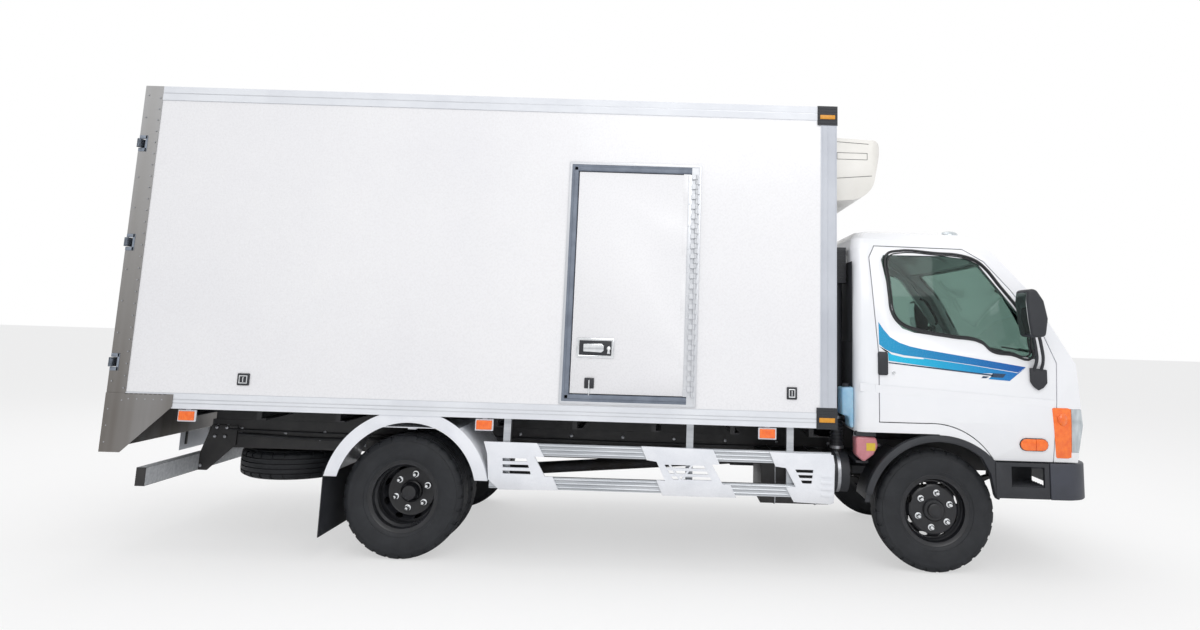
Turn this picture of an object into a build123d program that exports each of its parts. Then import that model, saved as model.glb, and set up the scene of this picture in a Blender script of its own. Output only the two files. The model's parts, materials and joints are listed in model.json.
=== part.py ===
from build123d import *
import os
from math import sqrt

# Refrigerated truck. Millimetres, +X forward, +Y to the left, +Z up.
# The origin is on the ground under the middle of the vehicle's length.

# Axles and overall length
wheelbase = 3385
rear_overhang = 1860
front_overhang = 1015
overall_length = rear_overhang + wheelbase + front_overhang
rear_axle_x = rear_overhang - overall_length / 2
front_axle_x = rear_axle_x + wheelbase

# Wheels
tyre_radius = 380
tyre_width = 200
tyre_shoulder = 26
rim_radius = 200
rim_lip_radius = 220
rim_width = 160
rim_lip = 9
front_tyre_y = 780
rear_outer_tyre_y = 845
rear_inner_tyre_y = 610
stud_circle_radius = 102
stud_radius = 12
stud_count = 6
stud_length = 26
hand_hole_circle_radius = 160
hand_hole_radius = 15
hand_hole_count = 8
disc_thickness = 12
disc_bend_radius = 145
hub_radius = 62

# Ladder frame
frame_half_width = 400
rail_height = 190
rail_flange = 65
rail_wall = 8
rail_top_z = 755
rail_rear_x = rear_axle_x - 1530
rail_front_x = front_axle_x + 790
member_height = 110
member_depth = 70

# Box body
box_half_width = 1055
box_bottom_z = 893
box_top_z = 2965
edge_rail_height = 92
edge_rail_depth = 100
wall_thickness = 75
panel_step = 5
cab_gap = 135
cab_back_offset = 535
box_rear_x = rear_axle_x - rear_overhang
box_front_x = front_axle_x - cab_back_offset - cab_gap
rear_frame_depth = 119
rear_post_width = 70
rear_frame_front_x = box_rear_x + rear_frame_depth

# Rear doors
leaf_thickness = 70
leaf_recess = 45
leaf_gap = 8
leaf_taper = 12
leaf_centre_gap = 6
rear_hinge_inset = 12
rear_hinge_standoff = 16
rear_hinge_z = [1168, 1925, 2575]
hinge_blade_height = 56
hinge_notch_height = 108
knuckle_radius = 12

# Side door in the right wall
side_door_rear_x = rear_axle_x + 971
side_door_length = 857
side_door_bottom_z = 998
side_door_height = 1542
side_frame_width = 58
side_leaf_thickness = 80
side_leaf_gap = 6
side_leaf_taper = 11
side_hinge_standoff = 14
side_hinge_inset = 27
side_knuckle_count = 8

# Cab
cab_half_width = 985
cab_wall = 55
cab_floor_z = 870
cab_floor_thickness = 50
cab_rear_corner = 70
cab_front_corner = 170
cab_front_bow = 60
wheel_arch_radius = 485
door_gap = 6
glass_inset = 10
glass_thickness = 6

os.makedirs("parts", exist_ok=True)


def write(piece, node):
    """Label a finished piece and write it under its node's name."""
    piece.part.label = node
    export_step(piece.part, f"parts/{node}.step")


# Ladder frame: two channels, open inwards, and their cross members
front_member_offsets = [-1250, 520, 745]
rear_member_offsets = [-1485, -640, 640, 1500]
cab_mount_offsets = [-470, 700]
cab_mount_length = 90
coupling_hole_spacing_y = 120
coupling_hole_spacing_z = 60
coupling_hole_radius = 7
with BuildPart() as chassis_frame:
    for side in (-1, 1):
        with BuildSketch(Plane.YZ.offset(rail_rear_x)):
            with Locations((side * (frame_half_width - rail_flange / 2), rail_top_z - rail_height / 2)):
                Rectangle(rail_flange, rail_height)
            with Locations((side * (frame_half_width - rail_wall - rail_flange / 2),
                            rail_top_z - rail_height / 2)):
                Rectangle(rail_flange, rail_height - 2 * rail_wall, mode=Mode.SUBTRACT)
        extrude(amount=rail_front_x - rail_rear_x)
    member_x = [rear_axle_x + x for x in rear_member_offsets]
    member_x += [front_axle_x + x for x in front_member_offsets]
    with Locations([(x, 0, rail_top_z - rail_height / 2) for x in member_x]):
        Box(member_depth, 2 * (frame_half_width - rail_wall), member_height)
    # Blocks that carry the cab's floor, and four holes for a towing coupling in the rear cross member
    with Locations([(front_axle_x + x, side * (frame_half_width - rail_flange / 2), rail_top_z)
                    for x in cab_mount_offsets for side in (-1, 1)]):
        Box(cab_mount_length, rail_flange, cab_floor_z - rail_top_z,
            align=(Align.CENTER, Align.CENTER, Align.MIN))
    with BuildSketch(Plane.YZ.offset(rail_rear_x - member_depth)):
        with Locations((0, rail_top_z - rail_height / 2)):
            with GridLocations(coupling_hole_spacing_y, coupling_hole_spacing_z, 2, 2):
                Circle(coupling_hole_radius)
    extrude(amount=3 * member_depth, mode=Mode.SUBTRACT)
write(chassis_frame, "chassis_frame")

# Bearers under the floor: two long ones on the rails, channels across them
bearer_top_z = box_bottom_z
cross_bearer_height = 70
long_bearer_height = bearer_top_z - cross_bearer_height - rail_top_z
cross_bearer_count = 9
long_bearer_x0 = rail_rear_x + 20
long_bearer_x1 = box_front_x - 60
with BuildPart() as box_bearers:
    for side in (-1, 1):
        with BuildSketch(Plane.XY.offset(rail_top_z)):
            with Locations(((long_bearer_x0 + long_bearer_x1) / 2, side * (frame_half_width - 32))):
                Rectangle(long_bearer_x1 - long_bearer_x0, 60)
        extrude(amount=long_bearer_height)
    bearer_pitch = (long_bearer_x1 - long_bearer_x0 - 120) / (cross_bearer_count - 1)
    for index in range(cross_bearer_count):
        with Locations((long_bearer_x0 + 60 + index * bearer_pitch, 0,
                        rail_top_z + long_bearer_height + cross_bearer_height / 2)):
            Box(60, 2 * (box_half_width - edge_rail_depth - 40), cross_bearer_height)
            Box(50, 2 * box_half_width, cross_bearer_height - 16,
                align=(Align.MIN, Align.CENTER, Align.CENTER), mode=Mode.SUBTRACT)
write(box_bearers, "box_bearers")

# Box body: insulated panels between extruded edge rails
panel_z0 = box_bottom_z + edge_rail_height
panel_z1 = box_top_z - edge_rail_height
side_panel_outer_y = box_half_width - panel_step
front_post_width = 105
front_panel_x = box_front_x - panel_step
panel_x0 = rear_frame_front_x
panel_x1 = box_front_x - front_post_width
with BuildPart() as box_floor:
    with Locations(((panel_x0 + panel_x1) / 2, 0, box_bottom_z)):
        Box(panel_x1 - panel_x0, 2 * (box_half_width - edge_rail_depth), edge_rail_height,
            align=(Align.CENTER, Align.CENTER, Align.MIN))
write(box_floor, "box_floor")

with BuildPart() as box_panels:
    for side in (-1, 1):
        with Locations(((panel_x0 + panel_x1) / 2, side * (side_panel_outer_y - wall_thickness / 2),
                        (panel_z0 + panel_z1) / 2)):
            Box(panel_x1 - panel_x0, wall_thickness, panel_z1 - panel_z0)
    with Locations((side_door_rear_x + side_door_length / 2, -box_half_width,
                    side_door_bottom_z + side_door_height / 2)):
        Box(side_door_length, 3 * wall_thickness, side_door_height, mode=Mode.SUBTRACT)
    with Locations((front_panel_x - wall_thickness / 2, 0, (panel_z0 + panel_z1) / 2)):
        Box(wall_thickness, 2 * (box_half_width - edge_rail_depth), panel_z1 - panel_z0)
    with Locations(((panel_x0 + panel_x1) / 2, 0, box_top_z - panel_step)):
        Box(panel_x1 - panel_x0, 2 * (box_half_width - edge_rail_depth), edge_rail_height - panel_step,
            align=(Align.CENTER, Align.CENTER, Align.MAX))
write(box_panels, "box_panels")

# Edge rails: side rails, front rails and front posts, with two grooves along each side rail
groove_depth = 3
groove_width = 6
# columns: height above the box's underside
side_grooves = [34, 56, box_top_z - box_bottom_z - 46]
with BuildPart() as box_edge_rails:
    rail_length = box_front_x - rear_frame_front_x
    rail_mid_x = (box_front_x + rear_frame_front_x) / 2
    for side in (-1, 1):
        for z in (box_bottom_z + edge_rail_height / 2, box_top_z - edge_rail_height / 2):
            with Locations((rail_mid_x, side * (box_half_width - edge_rail_depth / 2), z)):
                Box(rail_length, edge_rail_depth, edge_rail_height)
        for height in side_grooves:
            with Locations((rail_mid_x, side * box_half_width, box_bottom_z + height)):
                Box(rail_length, 2 * groove_depth, groove_width, mode=Mode.SUBTRACT)
        with Locations((box_front_x - front_post_width / 2, side * (box_half_width - edge_rail_depth / 2),
                        (panel_z0 + panel_z1) / 2)):
            Box(front_post_width, edge_rail_depth, panel_z1 - panel_z0)
    for z in (box_bottom_z + edge_rail_height / 2, box_top_z - edge_rail_height / 2):
        with Locations((box_front_x - front_post_width / 2, 0, z)):
            Box(front_post_width, 2 * (box_half_width - edge_rail_depth), edge_rail_height)
write(box_edge_rails, "box_edge_rails")

# Moulded caps over the four front corners
cap_wall = 4
cap_height = 130
cap_length = 132
with BuildPart() as corner_caps:
    for side in (-1, 1):
        # columns: lower end of the cap, upper end of the cap
        for low_z, high_z in ((box_top_z + cap_wall - cap_height, box_top_z + cap_wall),
                              (box_bottom_z - cap_wall, box_bottom_z - cap_wall + cap_height)):
            with Locations((box_front_x + cap_wall, side * (box_half_width + cap_wall), low_z)):
                Box(cap_length, cap_length, high_z - low_z,
                    align=(Align.MAX, Align.MAX if side > 0 else Align.MIN, Align.MIN))
    with Locations(((rear_frame_front_x + box_front_x) / 2, 0, (box_bottom_z + box_top_z) / 2)):
        Box(box_front_x - rear_frame_front_x, 2 * box_half_width, box_top_z - box_bottom_z,
            mode=Mode.SUBTRACT)
write(corner_caps, "corner_caps")

# Stainless rear frame: the door portal, side plates with gussets and the lamp panel below
plate_thickness = 5
plate_bottom_z = 620
gusset_front_x = box_rear_x + 420
gusset_bottom_z = 902
gusset_top_z = panel_z0 - 6
sill_height = edge_rail_height
lamp_panel_depth = 60
lamp_panel_bottom_z = 640
lamp_pocket_length = 330
lamp_pocket_height = 110
lamp_pocket_y = 760
lamp_pocket_depth = 30
lamp_z = (lamp_panel_bottom_z + box_bottom_z) / 2
with BuildPart() as rear_frame:
    with BuildSketch(Plane.YZ.offset(box_rear_x)):
        with Locations((0, (box_bottom_z + box_top_z) / 2)):
            Rectangle(2 * box_half_width, box_top_z - box_bottom_z)
            Rectangle(2 * (box_half_width - rear_post_width), box_top_z - box_bottom_z - 2 * sill_height,
                      mode=Mode.SUBTRACT)
    extrude(amount=rear_frame_depth)
    for side in (-1, 1):
        for z in rear_hinge_z:
            with Locations((box_rear_x, side * box_half_width, z)):
                Box(2 * (rear_frame_depth - leaf_thickness + 6), 2 * rear_post_width + 2, hinge_notch_height,
                    mode=Mode.SUBTRACT)
    for side in (-1, 1):
        with BuildSketch(Plane.XZ.offset(side * (box_half_width + plate_thickness / 2))):
            with BuildLine():
                Polyline((box_rear_x, gusset_top_z), (box_rear_x, plate_bottom_z),
                         (box_rear_x + 128, plate_bottom_z), (gusset_front_x, gusset_bottom_z),
                         (gusset_front_x, gusset_top_z), close=True)
            make_face()
        extrude(amount=plate_thickness / 2, both=True)
    with Locations((box_rear_x, 0, lamp_panel_bottom_z)):
        Box(lamp_panel_depth, 2 * box_half_width, box_bottom_z - lamp_panel_bottom_z,
            align=(Align.MIN, Align.CENTER, Align.MIN))
    with Locations((box_rear_x, -lamp_pocket_y, lamp_z), (box_rear_x, lamp_pocket_y, lamp_z)):
        Box(2 * lamp_pocket_depth, lamp_pocket_length, lamp_pocket_height, mode=Mode.SUBTRACT)
write(rear_frame, "rear_frame")

# Tail lamps in the panel's pockets, and orange marker lamps under the side rails
lamp_gap = 1
marker_length = 104
marker_height = 62
marker_depth = 22
marker_z = 850
# columns: middle of each marker lamp along the truck
marker_x = [rear_axle_x - 1351, rear_axle_x + 510, front_axle_x - 1102]
with BuildPart() as body_lamps:
    with Locations((box_rear_x + lamp_pocket_depth, -lamp_pocket_y, lamp_z),
                   (box_rear_x + lamp_pocket_depth, lamp_pocket_y, lamp_z)):
        Box(lamp_pocket_depth, lamp_pocket_length - 2 * lamp_gap, lamp_pocket_height - 2 * lamp_gap,
            align=(Align.MAX, Align.CENTER, Align.CENTER))
    for side in (-1, 1):
        with Locations([(x, side * (box_half_width - 6 - marker_depth / 2), marker_z) for x in marker_x]):
            Box(marker_length, marker_depth, marker_height)
        with Locations([(x, side * (box_half_width - 6 - marker_depth), marker_z) for x in marker_x]):
            Box(30, 8, box_bottom_z - marker_z, align=(Align.CENTER, Align.MAX if side > 0 else Align.MIN,
                                                       Align.MIN))
write(body_lamps, "body_lamps")

# Rear doors: tapered insulated leaves on straps that reach the hinge line through the portal's notches
rear_hinge_x = box_rear_x + rear_hinge_inset
rear_hinge_y = box_half_width + rear_hinge_standoff
leaf_rear_x = box_rear_x + leaf_recess
leaf_outer_y = box_half_width - rear_post_width - leaf_gap
leaf_z0 = box_bottom_z + sill_height + leaf_gap
leaf_z1 = box_top_z - sill_height - leaf_gap
strap_thickness = 10
strap_inner_y = 700
lock_rod_radius = 11
lock_rod_y = 150
for side, node in ((1, "rear_left_door"), (-1, "rear_right_door")):
    with BuildPart() as rear_door:
        with BuildSketch(Plane.XY.offset(leaf_z0)):
            with BuildLine():
                Polyline((leaf_rear_x, side * leaf_centre_gap),
                         (leaf_rear_x, side * leaf_outer_y),
                         (leaf_rear_x + leaf_thickness, side * (leaf_outer_y - leaf_taper)),
                         (leaf_rear_x + leaf_thickness, side * (leaf_centre_gap + leaf_taper)), close=True)
            make_face()
        extrude(amount=leaf_z1 - leaf_z0)
        for z in rear_hinge_z:
            with BuildSketch(Plane.XY.offset(z - hinge_blade_height / 2)):
                with BuildLine():
                    Polyline((leaf_rear_x - strap_thickness, side * strap_inner_y),
                             (leaf_rear_x, side * strap_inner_y),
                             (leaf_rear_x, side * (leaf_outer_y + 12)),
                             (rear_hinge_x + 6, side * (rear_hinge_y - 4)),
                             (rear_hinge_x - 6, side * (rear_hinge_y - 4)),
                             (leaf_rear_x - strap_thickness, side * (leaf_outer_y + 6)), close=True)
                make_face()
                with Locations((rear_hinge_x, side * rear_hinge_y)):
                    Circle(knuckle_radius)
            extrude(amount=hinge_blade_height)
        with Locations((leaf_rear_x - lock_rod_radius - 3, side * lock_rod_y, (leaf_z0 + leaf_z1) / 2)):
            Cylinder(lock_rod_radius, leaf_z1 - leaf_z0 - 20)
        with Locations([(leaf_rear_x, side * lock_rod_y, leaf_z0 + (leaf_z1 - leaf_z0) * share)
                        for share in (0.08, 0.3, 0.52, 0.74, 0.92)]):
            Box(2 * (lock_rod_radius + 2), 50, 40, align=(Align.MAX, Align.CENTER, Align.CENTER))
    write(rear_door, node)

# Side door frame and side door
side_door_front_x = side_door_rear_x + side_door_length
side_door_top_z = side_door_bottom_z + side_door_height
side_opening_x0 = side_door_rear_x + side_frame_width
side_opening_x1 = side_door_front_x - side_frame_width
side_opening_z0 = side_door_bottom_z + side_frame_width
side_opening_z1 = side_door_top_z - side_frame_width
side_hinge_x = side_door_front_x - side_hinge_inset
side_hinge_y = -(box_half_width + side_hinge_standoff)
side_knuckle_radius = 9
side_knuckle_pitch = (side_door_height - 2 * side_frame_width) / side_knuckle_count
with BuildPart() as side_door_frame:
    with BuildSketch(Plane.XZ.offset(box_half_width)):
        with Locations(((side_door_rear_x + side_door_front_x) / 2,
                        (side_door_bottom_z + side_door_top_z) / 2)):
            Rectangle(side_door_length, side_door_height)
            Rectangle(side_opening_x1 - side_opening_x0, side_opening_z1 - side_opening_z0,
                      mode=Mode.SUBTRACT)
    extrude(amount=-(wall_thickness + panel_step))
    for index in range(0, side_knuckle_count, 2):
        z = side_opening_z0 + (index + 0.5) * side_knuckle_pitch
        with BuildSketch(Plane.XY.offset(z - side_knuckle_pitch / 2 + 1)):
            with Locations((side_hinge_x, side_hinge_y)):
                Circle(side_knuckle_radius)
            with Locations((side_hinge_x + 8, -box_half_width)):
                Rectangle(10, 14, align=(Align.CENTER, Align.MAX))
        extrude(amount=side_knuckle_pitch - 2)
write(side_door_frame, "side_door_frame")

side_leaf_x0 = side_opening_x0 + side_leaf_gap
side_leaf_x1 = side_opening_x1 - side_leaf_gap
side_leaf_z0 = side_opening_z0 + side_leaf_gap
side_leaf_z1 = side_opening_z1 - side_leaf_gap
with BuildPart() as side_door:
    with BuildSketch(Plane.XY.offset(side_leaf_z0)):
        with BuildLine():
            Polyline((side_leaf_x0, -box_half_width), (side_leaf_x1, -box_half_width),
                     (side_leaf_x1 - side_leaf_taper, side_leaf_thickness - box_half_width),
                     (side_leaf_x0 + side_leaf_taper, side_leaf_thickness - box_half_width), close=True)
        make_face()
    extrude(amount=side_leaf_z1 - side_leaf_z0)
    for index in range(1, side_knuckle_count, 2):
        z = side_opening_z0 + (index + 0.5) * side_knuckle_pitch
        with BuildSketch(Plane.XY.offset(z - side_knuckle_pitch / 2 + 1)):
            with Locations((side_hinge_x, side_hinge_y)):
                Circle(side_knuckle_radius)
            with BuildLine():
                Polyline((side_hinge_x, side_hinge_y + 3), (side_hinge_x, side_hinge_y + 9),
                         (side_leaf_x1 - 4, -box_half_width), (side_leaf_x1 - 50, -box_half_width),
                         (side_leaf_x1 - 50, side_hinge_y + 9), (side_leaf_x1 - 4, side_hinge_y + 3),
                         close=True)
            make_face()
        extrude(amount=side_knuckle_pitch - 2)
write(side_door, "side_door")

# Cooling unit on the front wall, above the cab
unit_half_width = 870
unit_bottom_z = 2365
unit_top_z = 2805
unit_depth = 345
unit_corner_radius = 60
# columns: step back from the unit's front, height
unit_top_run = (70, unit_top_z - 12)
unit_nose = (0, unit_top_z - 80)
unit_chin = (40, unit_bottom_z + 170)
unit_belly = (205, unit_bottom_z + 12)
unit_front_x = front_panel_x + unit_depth
with BuildPart() as cooling_unit:
    with BuildSketch(Plane.XZ):
        with BuildLine():
            top_run = (unit_front_x - unit_top_run[0], unit_top_run[1])
            nose = (unit_front_x, unit_nose[1])
            chin = (unit_front_x - unit_chin[0], unit_chin[1])
            belly = (unit_front_x - unit_belly[0], unit_belly[1])
            Polyline(belly, (front_panel_x, unit_bottom_z), (front_panel_x, unit_top_z), top_run)
            ThreePointArc(top_run, (unit_front_x - 14, unit_top_z - 32), nose)
            Line(nose, chin)
            ThreePointArc(chin, (unit_front_x - 95, unit_bottom_z + 60), belly)
        make_face()
    extrude(amount=unit_half_width, both=True)
    with BuildSketch(Plane.XY.offset(unit_bottom_z - 5)):
        with Locations((front_panel_x, 0)):
            RectangleRounded(2 * unit_depth, 2 * unit_half_width, unit_corner_radius)
    extrude(amount=unit_top_z - unit_bottom_z + 10, mode=Mode.INTERSECT)
write(cooling_unit, "cooling_unit")

# Axles. The front beam ends in eyes for the steering pins, the rear one is a tube with its final drive
front_beam_height = 70
kingpin_y = 690
eye_radius = 42
eye_height = 90
axle_z = tyre_radius
with BuildPart() as front_axle:
    with BuildSketch(Plane.YZ.offset(front_axle_x - 35)):
        with BuildLine():
            Polyline((-kingpin_y, axle_z + 35), (-kingpin_y, axle_z - 35), (-470, axle_z - 60),
                     (470, axle_z - 60), (kingpin_y, axle_z - 35), (kingpin_y, axle_z + 35),
                     (470, axle_z + 10), (-470, axle_z + 10), close=True)
        make_face()
    extrude(amount=70)
    for face_x in (front_axle_x - 35, front_axle_x + 35):
        with Locations((face_x, 0, axle_z - 25)):
            Box(44, 880, 42, mode=Mode.SUBTRACT)
    with Locations((front_axle_x, -kingpin_y, axle_z), (front_axle_x, kingpin_y, axle_z)):
        Cylinder(eye_radius, eye_height)
write(front_axle, "front_axle")

axle_tube_radius = 58
axle_tube_end_y = 480
differential_radius = 165
# columns: place along the truck from the axle, radius of the final drive's housing there
housing_profile = [(-95, 0), (-95, 60), (-70, 125), (-40, 158), (-10, 165), (40, 165), (72, 120),
                   (130, 68), (165, 60), (165, 0)]
with BuildPart() as rear_axle:
    with BuildSketch(Plane.XZ.offset(-axle_tube_end_y)):
        with Locations((rear_axle_x, axle_z)):
            Circle(axle_tube_radius)
    extrude(amount=2 * axle_tube_end_y)
    with BuildSketch(Plane.XZ):
        with BuildLine():
            Polyline([(rear_axle_x + x, axle_z + radius) for x, radius in housing_profile], close=True)
        make_face()
    revolve(axis=Axis((rear_axle_x, 0, axle_z), (1, 0, 0)), revolution_arc=360)
write(rear_axle, "rear_axle")

# Leaf springs: a bowed pack with rolled eyes, its hangers on the rail and its clamp on the axle
spring_width = 66
spring_y = frame_half_width - 35
spring_eye_radius = 24
rail_bottom_z = rail_top_z - rail_height
spring_eye_z = rail_bottom_z - 34
# columns: axle, half length, clamp seat height, pack thickness at the axle
spring_rows = [(front_axle_x, 560, axle_z + 10, 56), (rear_axle_x, 560, axle_z + axle_tube_radius, 74)]
with BuildPart() as leaf_springs:
    for spring_x, half_length, seat_z, pack in spring_rows:
        for side in (-1, 1):
            with BuildSketch(Plane.XZ.offset(-side * spring_y - spring_width / 2)):
                with BuildLine():
                    top_z = spring_eye_z + 8
                    l1 = ThreePointArc((spring_x - half_length, top_z), (spring_x, seat_z + pack),
                                       (spring_x + half_length, top_z))
                    l2 = Line(l1 @ 1, (spring_x + half_length, top_z - 18))
                    l3 = ThreePointArc(l2 @ 1, (spring_x, seat_z), (spring_x - half_length, top_z - 18))
                    Line(l3 @ 1, l1 @ 0)
                make_face()
                with Locations((spring_x - half_length, spring_eye_z),
                               (spring_x + half_length, spring_eye_z)):
                    Circle(spring_eye_radius)
            extrude(amount=spring_width)
            with Locations((spring_x - half_length, side * spring_y, spring_eye_z),
                           (spring_x + half_length, side * spring_y, spring_eye_z)):
                Box(44, spring_width, rail_bottom_z - spring_eye_z,
                    align=(Align.CENTER, Align.CENTER, Align.MIN))
write(leaf_springs, "leaf_springs")

# Engine and gearbox as one plain block, with the propeller shaft back to the rear axle
engine_x0 = front_axle_x - 430
engine_x1 = front_axle_x + 330
engine_half_width = 300
engine_z0 = 490
engine_z1 = 845
engine_mount_offsets = [-150, 150]
gearbox_length = 520
shaft_radius = 42
shaft_z0 = axle_z
shaft_z1 = 560
shaft_x0 = rear_axle_x + differential_radius + 5
shaft_x1 = engine_x0 - gearbox_length
with BuildPart() as driveline:
    with Locations(((engine_x0 + engine_x1) / 2, 0, (engine_z0 + engine_z1) / 2)):
        Box(engine_x1 - engine_x0, 2 * engine_half_width, engine_z1 - engine_z0)
    with Locations([(front_axle_x + x, 0, rail_top_z - rail_height / 2) for x in engine_mount_offsets]):
        Box(60, 2 * (frame_half_width - rail_wall), 50)
    with BuildSketch(Plane.YZ.offset(shaft_x1)):
        with Locations((0, shaft_z1)):
            Circle(130)
    extrude(amount=gearbox_length)
    shaft_plane = Plane(origin=(shaft_x0, 0, shaft_z0), x_dir=(0, 1, 0),
                        z_dir=(shaft_x1 - shaft_x0, 0, shaft_z1 - shaft_z0))
    with BuildSketch(shaft_plane):
        Circle(shaft_radius)
    extrude(amount=sqrt((shaft_x1 - shaft_x0) ** 2 + (shaft_z1 - shaft_z0) ** 2) + 20)
write(driveline, "driveline")

# Exhaust on the left, battery box on the left, fuel tank on the right
silencer_radius = 95
with BuildPart() as exhaust:
    with BuildSketch(Plane.YZ.offset(rear_axle_x + 1250)):
        with Locations((560, 560)):
            Circle(silencer_radius)
    extrude(amount=620)
    with BuildSketch(Plane.YZ.offset(rear_axle_x + 700)):
        with Locations((560, 560)):
            Circle(28)
    extrude(amount=550)
    with Locations((rear_axle_x + 1400, 480, 600), (rear_axle_x + 1720, 480, 600)):
        Box(40, 160, 40)
write(exhaust, "exhaust")

tank_inner_y = frame_half_width + 30
with BuildPart() as battery_box:
    with Locations((front_axle_x - 1000, tank_inner_y + 210, 560)):
        Box(420, 420, 290)
    with Locations((front_axle_x - 1130, frame_half_width, 640), (front_axle_x - 870, frame_half_width, 640)):
        Box(50, 30, 90, align=(Align.CENTER, Align.MIN, Align.CENTER))
write(battery_box, "battery_box")

tank_length = 440
tank_width = 460
tank_height = 300
tank_z = 545
tank_bracket_inset = 90
tank_bracket_z = 640
tank_x1 = front_axle_x - 680
tank_x0 = tank_x1 - tank_length
with BuildPart() as fuel_tank:
    with BuildSketch(Plane.YZ.offset(tank_x0)):
        with Locations((-tank_inner_y - tank_width / 2, tank_z)):
            RectangleRounded(tank_width, tank_height, 50)
    extrude(amount=tank_length)
    with Locations((tank_x0 + tank_bracket_inset, -frame_half_width, tank_bracket_z),
                   (tank_x1 - tank_bracket_inset, -frame_half_width, tank_bracket_z)):
        Box(50, 30, 90, align=(Align.CENTER, Align.MAX, Align.CENTER))
write(fuel_tank, "fuel_tank")


# Wheels: drop-centre rims with a dished disc, hub and studs, and tyres as plain rings
def make_rim(centres, disc_offsets, hub_y0, hub_y1, axle_x, side):
    """Rims on one hub. Offsets along the axle are counted outwards from the middle of the truck."""
    with BuildPart() as rim:
        for centre_y, disc_y in zip(centres, disc_offsets):
            with BuildSketch(Plane.YZ.offset(axle_x)):
                with BuildLine():
                    w = rim_width / 2
                    Polyline((centre_y - w, axle_z + rim_lip_radius),
                             (centre_y - w + rim_lip, axle_z + rim_lip_radius),
                             (centre_y - w + rim_lip, axle_z + rim_radius),
                             (centre_y + w - rim_lip, axle_z + rim_radius),
                             (centre_y + w - rim_lip, axle_z + rim_lip_radius),
                             (centre_y + w, axle_z + rim_lip_radius),
                             (centre_y + w, axle_z + rim_radius - 10),
                             (centre_y - w, axle_z + rim_radius - 10), close=True)
                make_face()
                sense = 1 if disc_y > centre_y else -1
                root_y = centre_y + 10 * sense
                with BuildLine():
                    Polyline((disc_y, axle_z), (disc_y, axle_z + disc_bend_radius + 5 * sense),
                             (root_y, axle_z + rim_radius - 5),
                             (root_y - disc_thickness, axle_z + rim_radius - 5),
                             (disc_y - disc_thickness, axle_z + disc_bend_radius - 5 * sense),
                             (disc_y - disc_thickness, axle_z), close=True)
                make_face()
            revolve(axis=Axis((axle_x, 0, axle_z), (0, 1, 0)), revolution_arc=360)
        with BuildSketch(Plane.XZ.offset(-centres[0] - rim_width)):
            with Locations((axle_x, axle_z)):
                with PolarLocations(hand_hole_circle_radius, hand_hole_count):
                    Circle(hand_hole_radius)
        extrude(amount=centres[0] - centres[-1] + 2 * rim_width, mode=Mode.SUBTRACT)
        with BuildSketch(Plane.XZ.offset(-hub_y0)):
            with Locations((axle_x, axle_z)):
                Circle(hub_radius)
        extrude(amount=-(hub_y1 - hub_y0))
        with BuildSketch(Plane.XZ.offset(-disc_offsets[0])):
            with Locations((axle_x, axle_z)):
                with PolarLocations(stud_circle_radius, stud_count):
                    Circle(stud_radius)
        extrude(amount=-stud_length)
        if side < 0:
            mirror(about=Plane.XZ, mode=Mode.REPLACE)
    return rim


def make_tyres(centres, axle_x, side):
    """Tyres as closed rings that seat between the rim's lips."""
    with BuildPart() as tyres:
        for centre_y in centres:
            y = side * centre_y
            w = tyre_width / 2
            seat = rim_width / 2 - rim_lip
            with BuildSketch(Plane.YZ.offset(axle_x)):
                with BuildLine():
                    Polyline((y - seat, axle_z + rim_radius), (y - seat, axle_z + rim_lip_radius),
                             (y - w, axle_z + 290),
                             (y - w + tyre_shoulder / 2, axle_z + tyre_radius - tyre_shoulder),
                             (y - w + tyre_shoulder, axle_z + tyre_radius),
                             (y + w - tyre_shoulder, axle_z + tyre_radius),
                             (y + w - tyre_shoulder / 2, axle_z + tyre_radius - tyre_shoulder),
                             (y + w, axle_z + 290), (y + seat, axle_z + rim_lip_radius),
                             (y + seat, axle_z + rim_radius), close=True)
                make_face()
            revolve(axis=Axis((axle_x, 0, axle_z), (0, 1, 0)), revolution_arc=360)
    return tyres


# columns: side of the truck, its name in the nodes
sides = [(1, "left"), (-1, "right")]
front_disc_y = front_tyre_y + 52
twin_disc_offset = 118
for side, name in sides:
    front_rim = make_rim([front_tyre_y], [front_disc_y], front_tyre_y + 20, front_disc_y + 40,
                         front_axle_x, side)
    write(front_rim, f"front_{name}_rim")
    write(make_tyres([front_tyre_y], front_axle_x, side), f"front_{name}_tyre")
    twin_discs = [rear_outer_tyre_y - twin_disc_offset, rear_inner_tyre_y + twin_disc_offset]
    twin_rims = make_rim([rear_outer_tyre_y, rear_inner_tyre_y], twin_discs, axle_tube_end_y + 4,
                         rear_outer_tyre_y - 20, rear_axle_x, side)
    write(twin_rims, f"rear_{name}_rims")
    write(make_tyres([rear_outer_tyre_y, rear_inner_tyre_y], rear_axle_x, side), f"rear_{name}_tyres")

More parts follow.
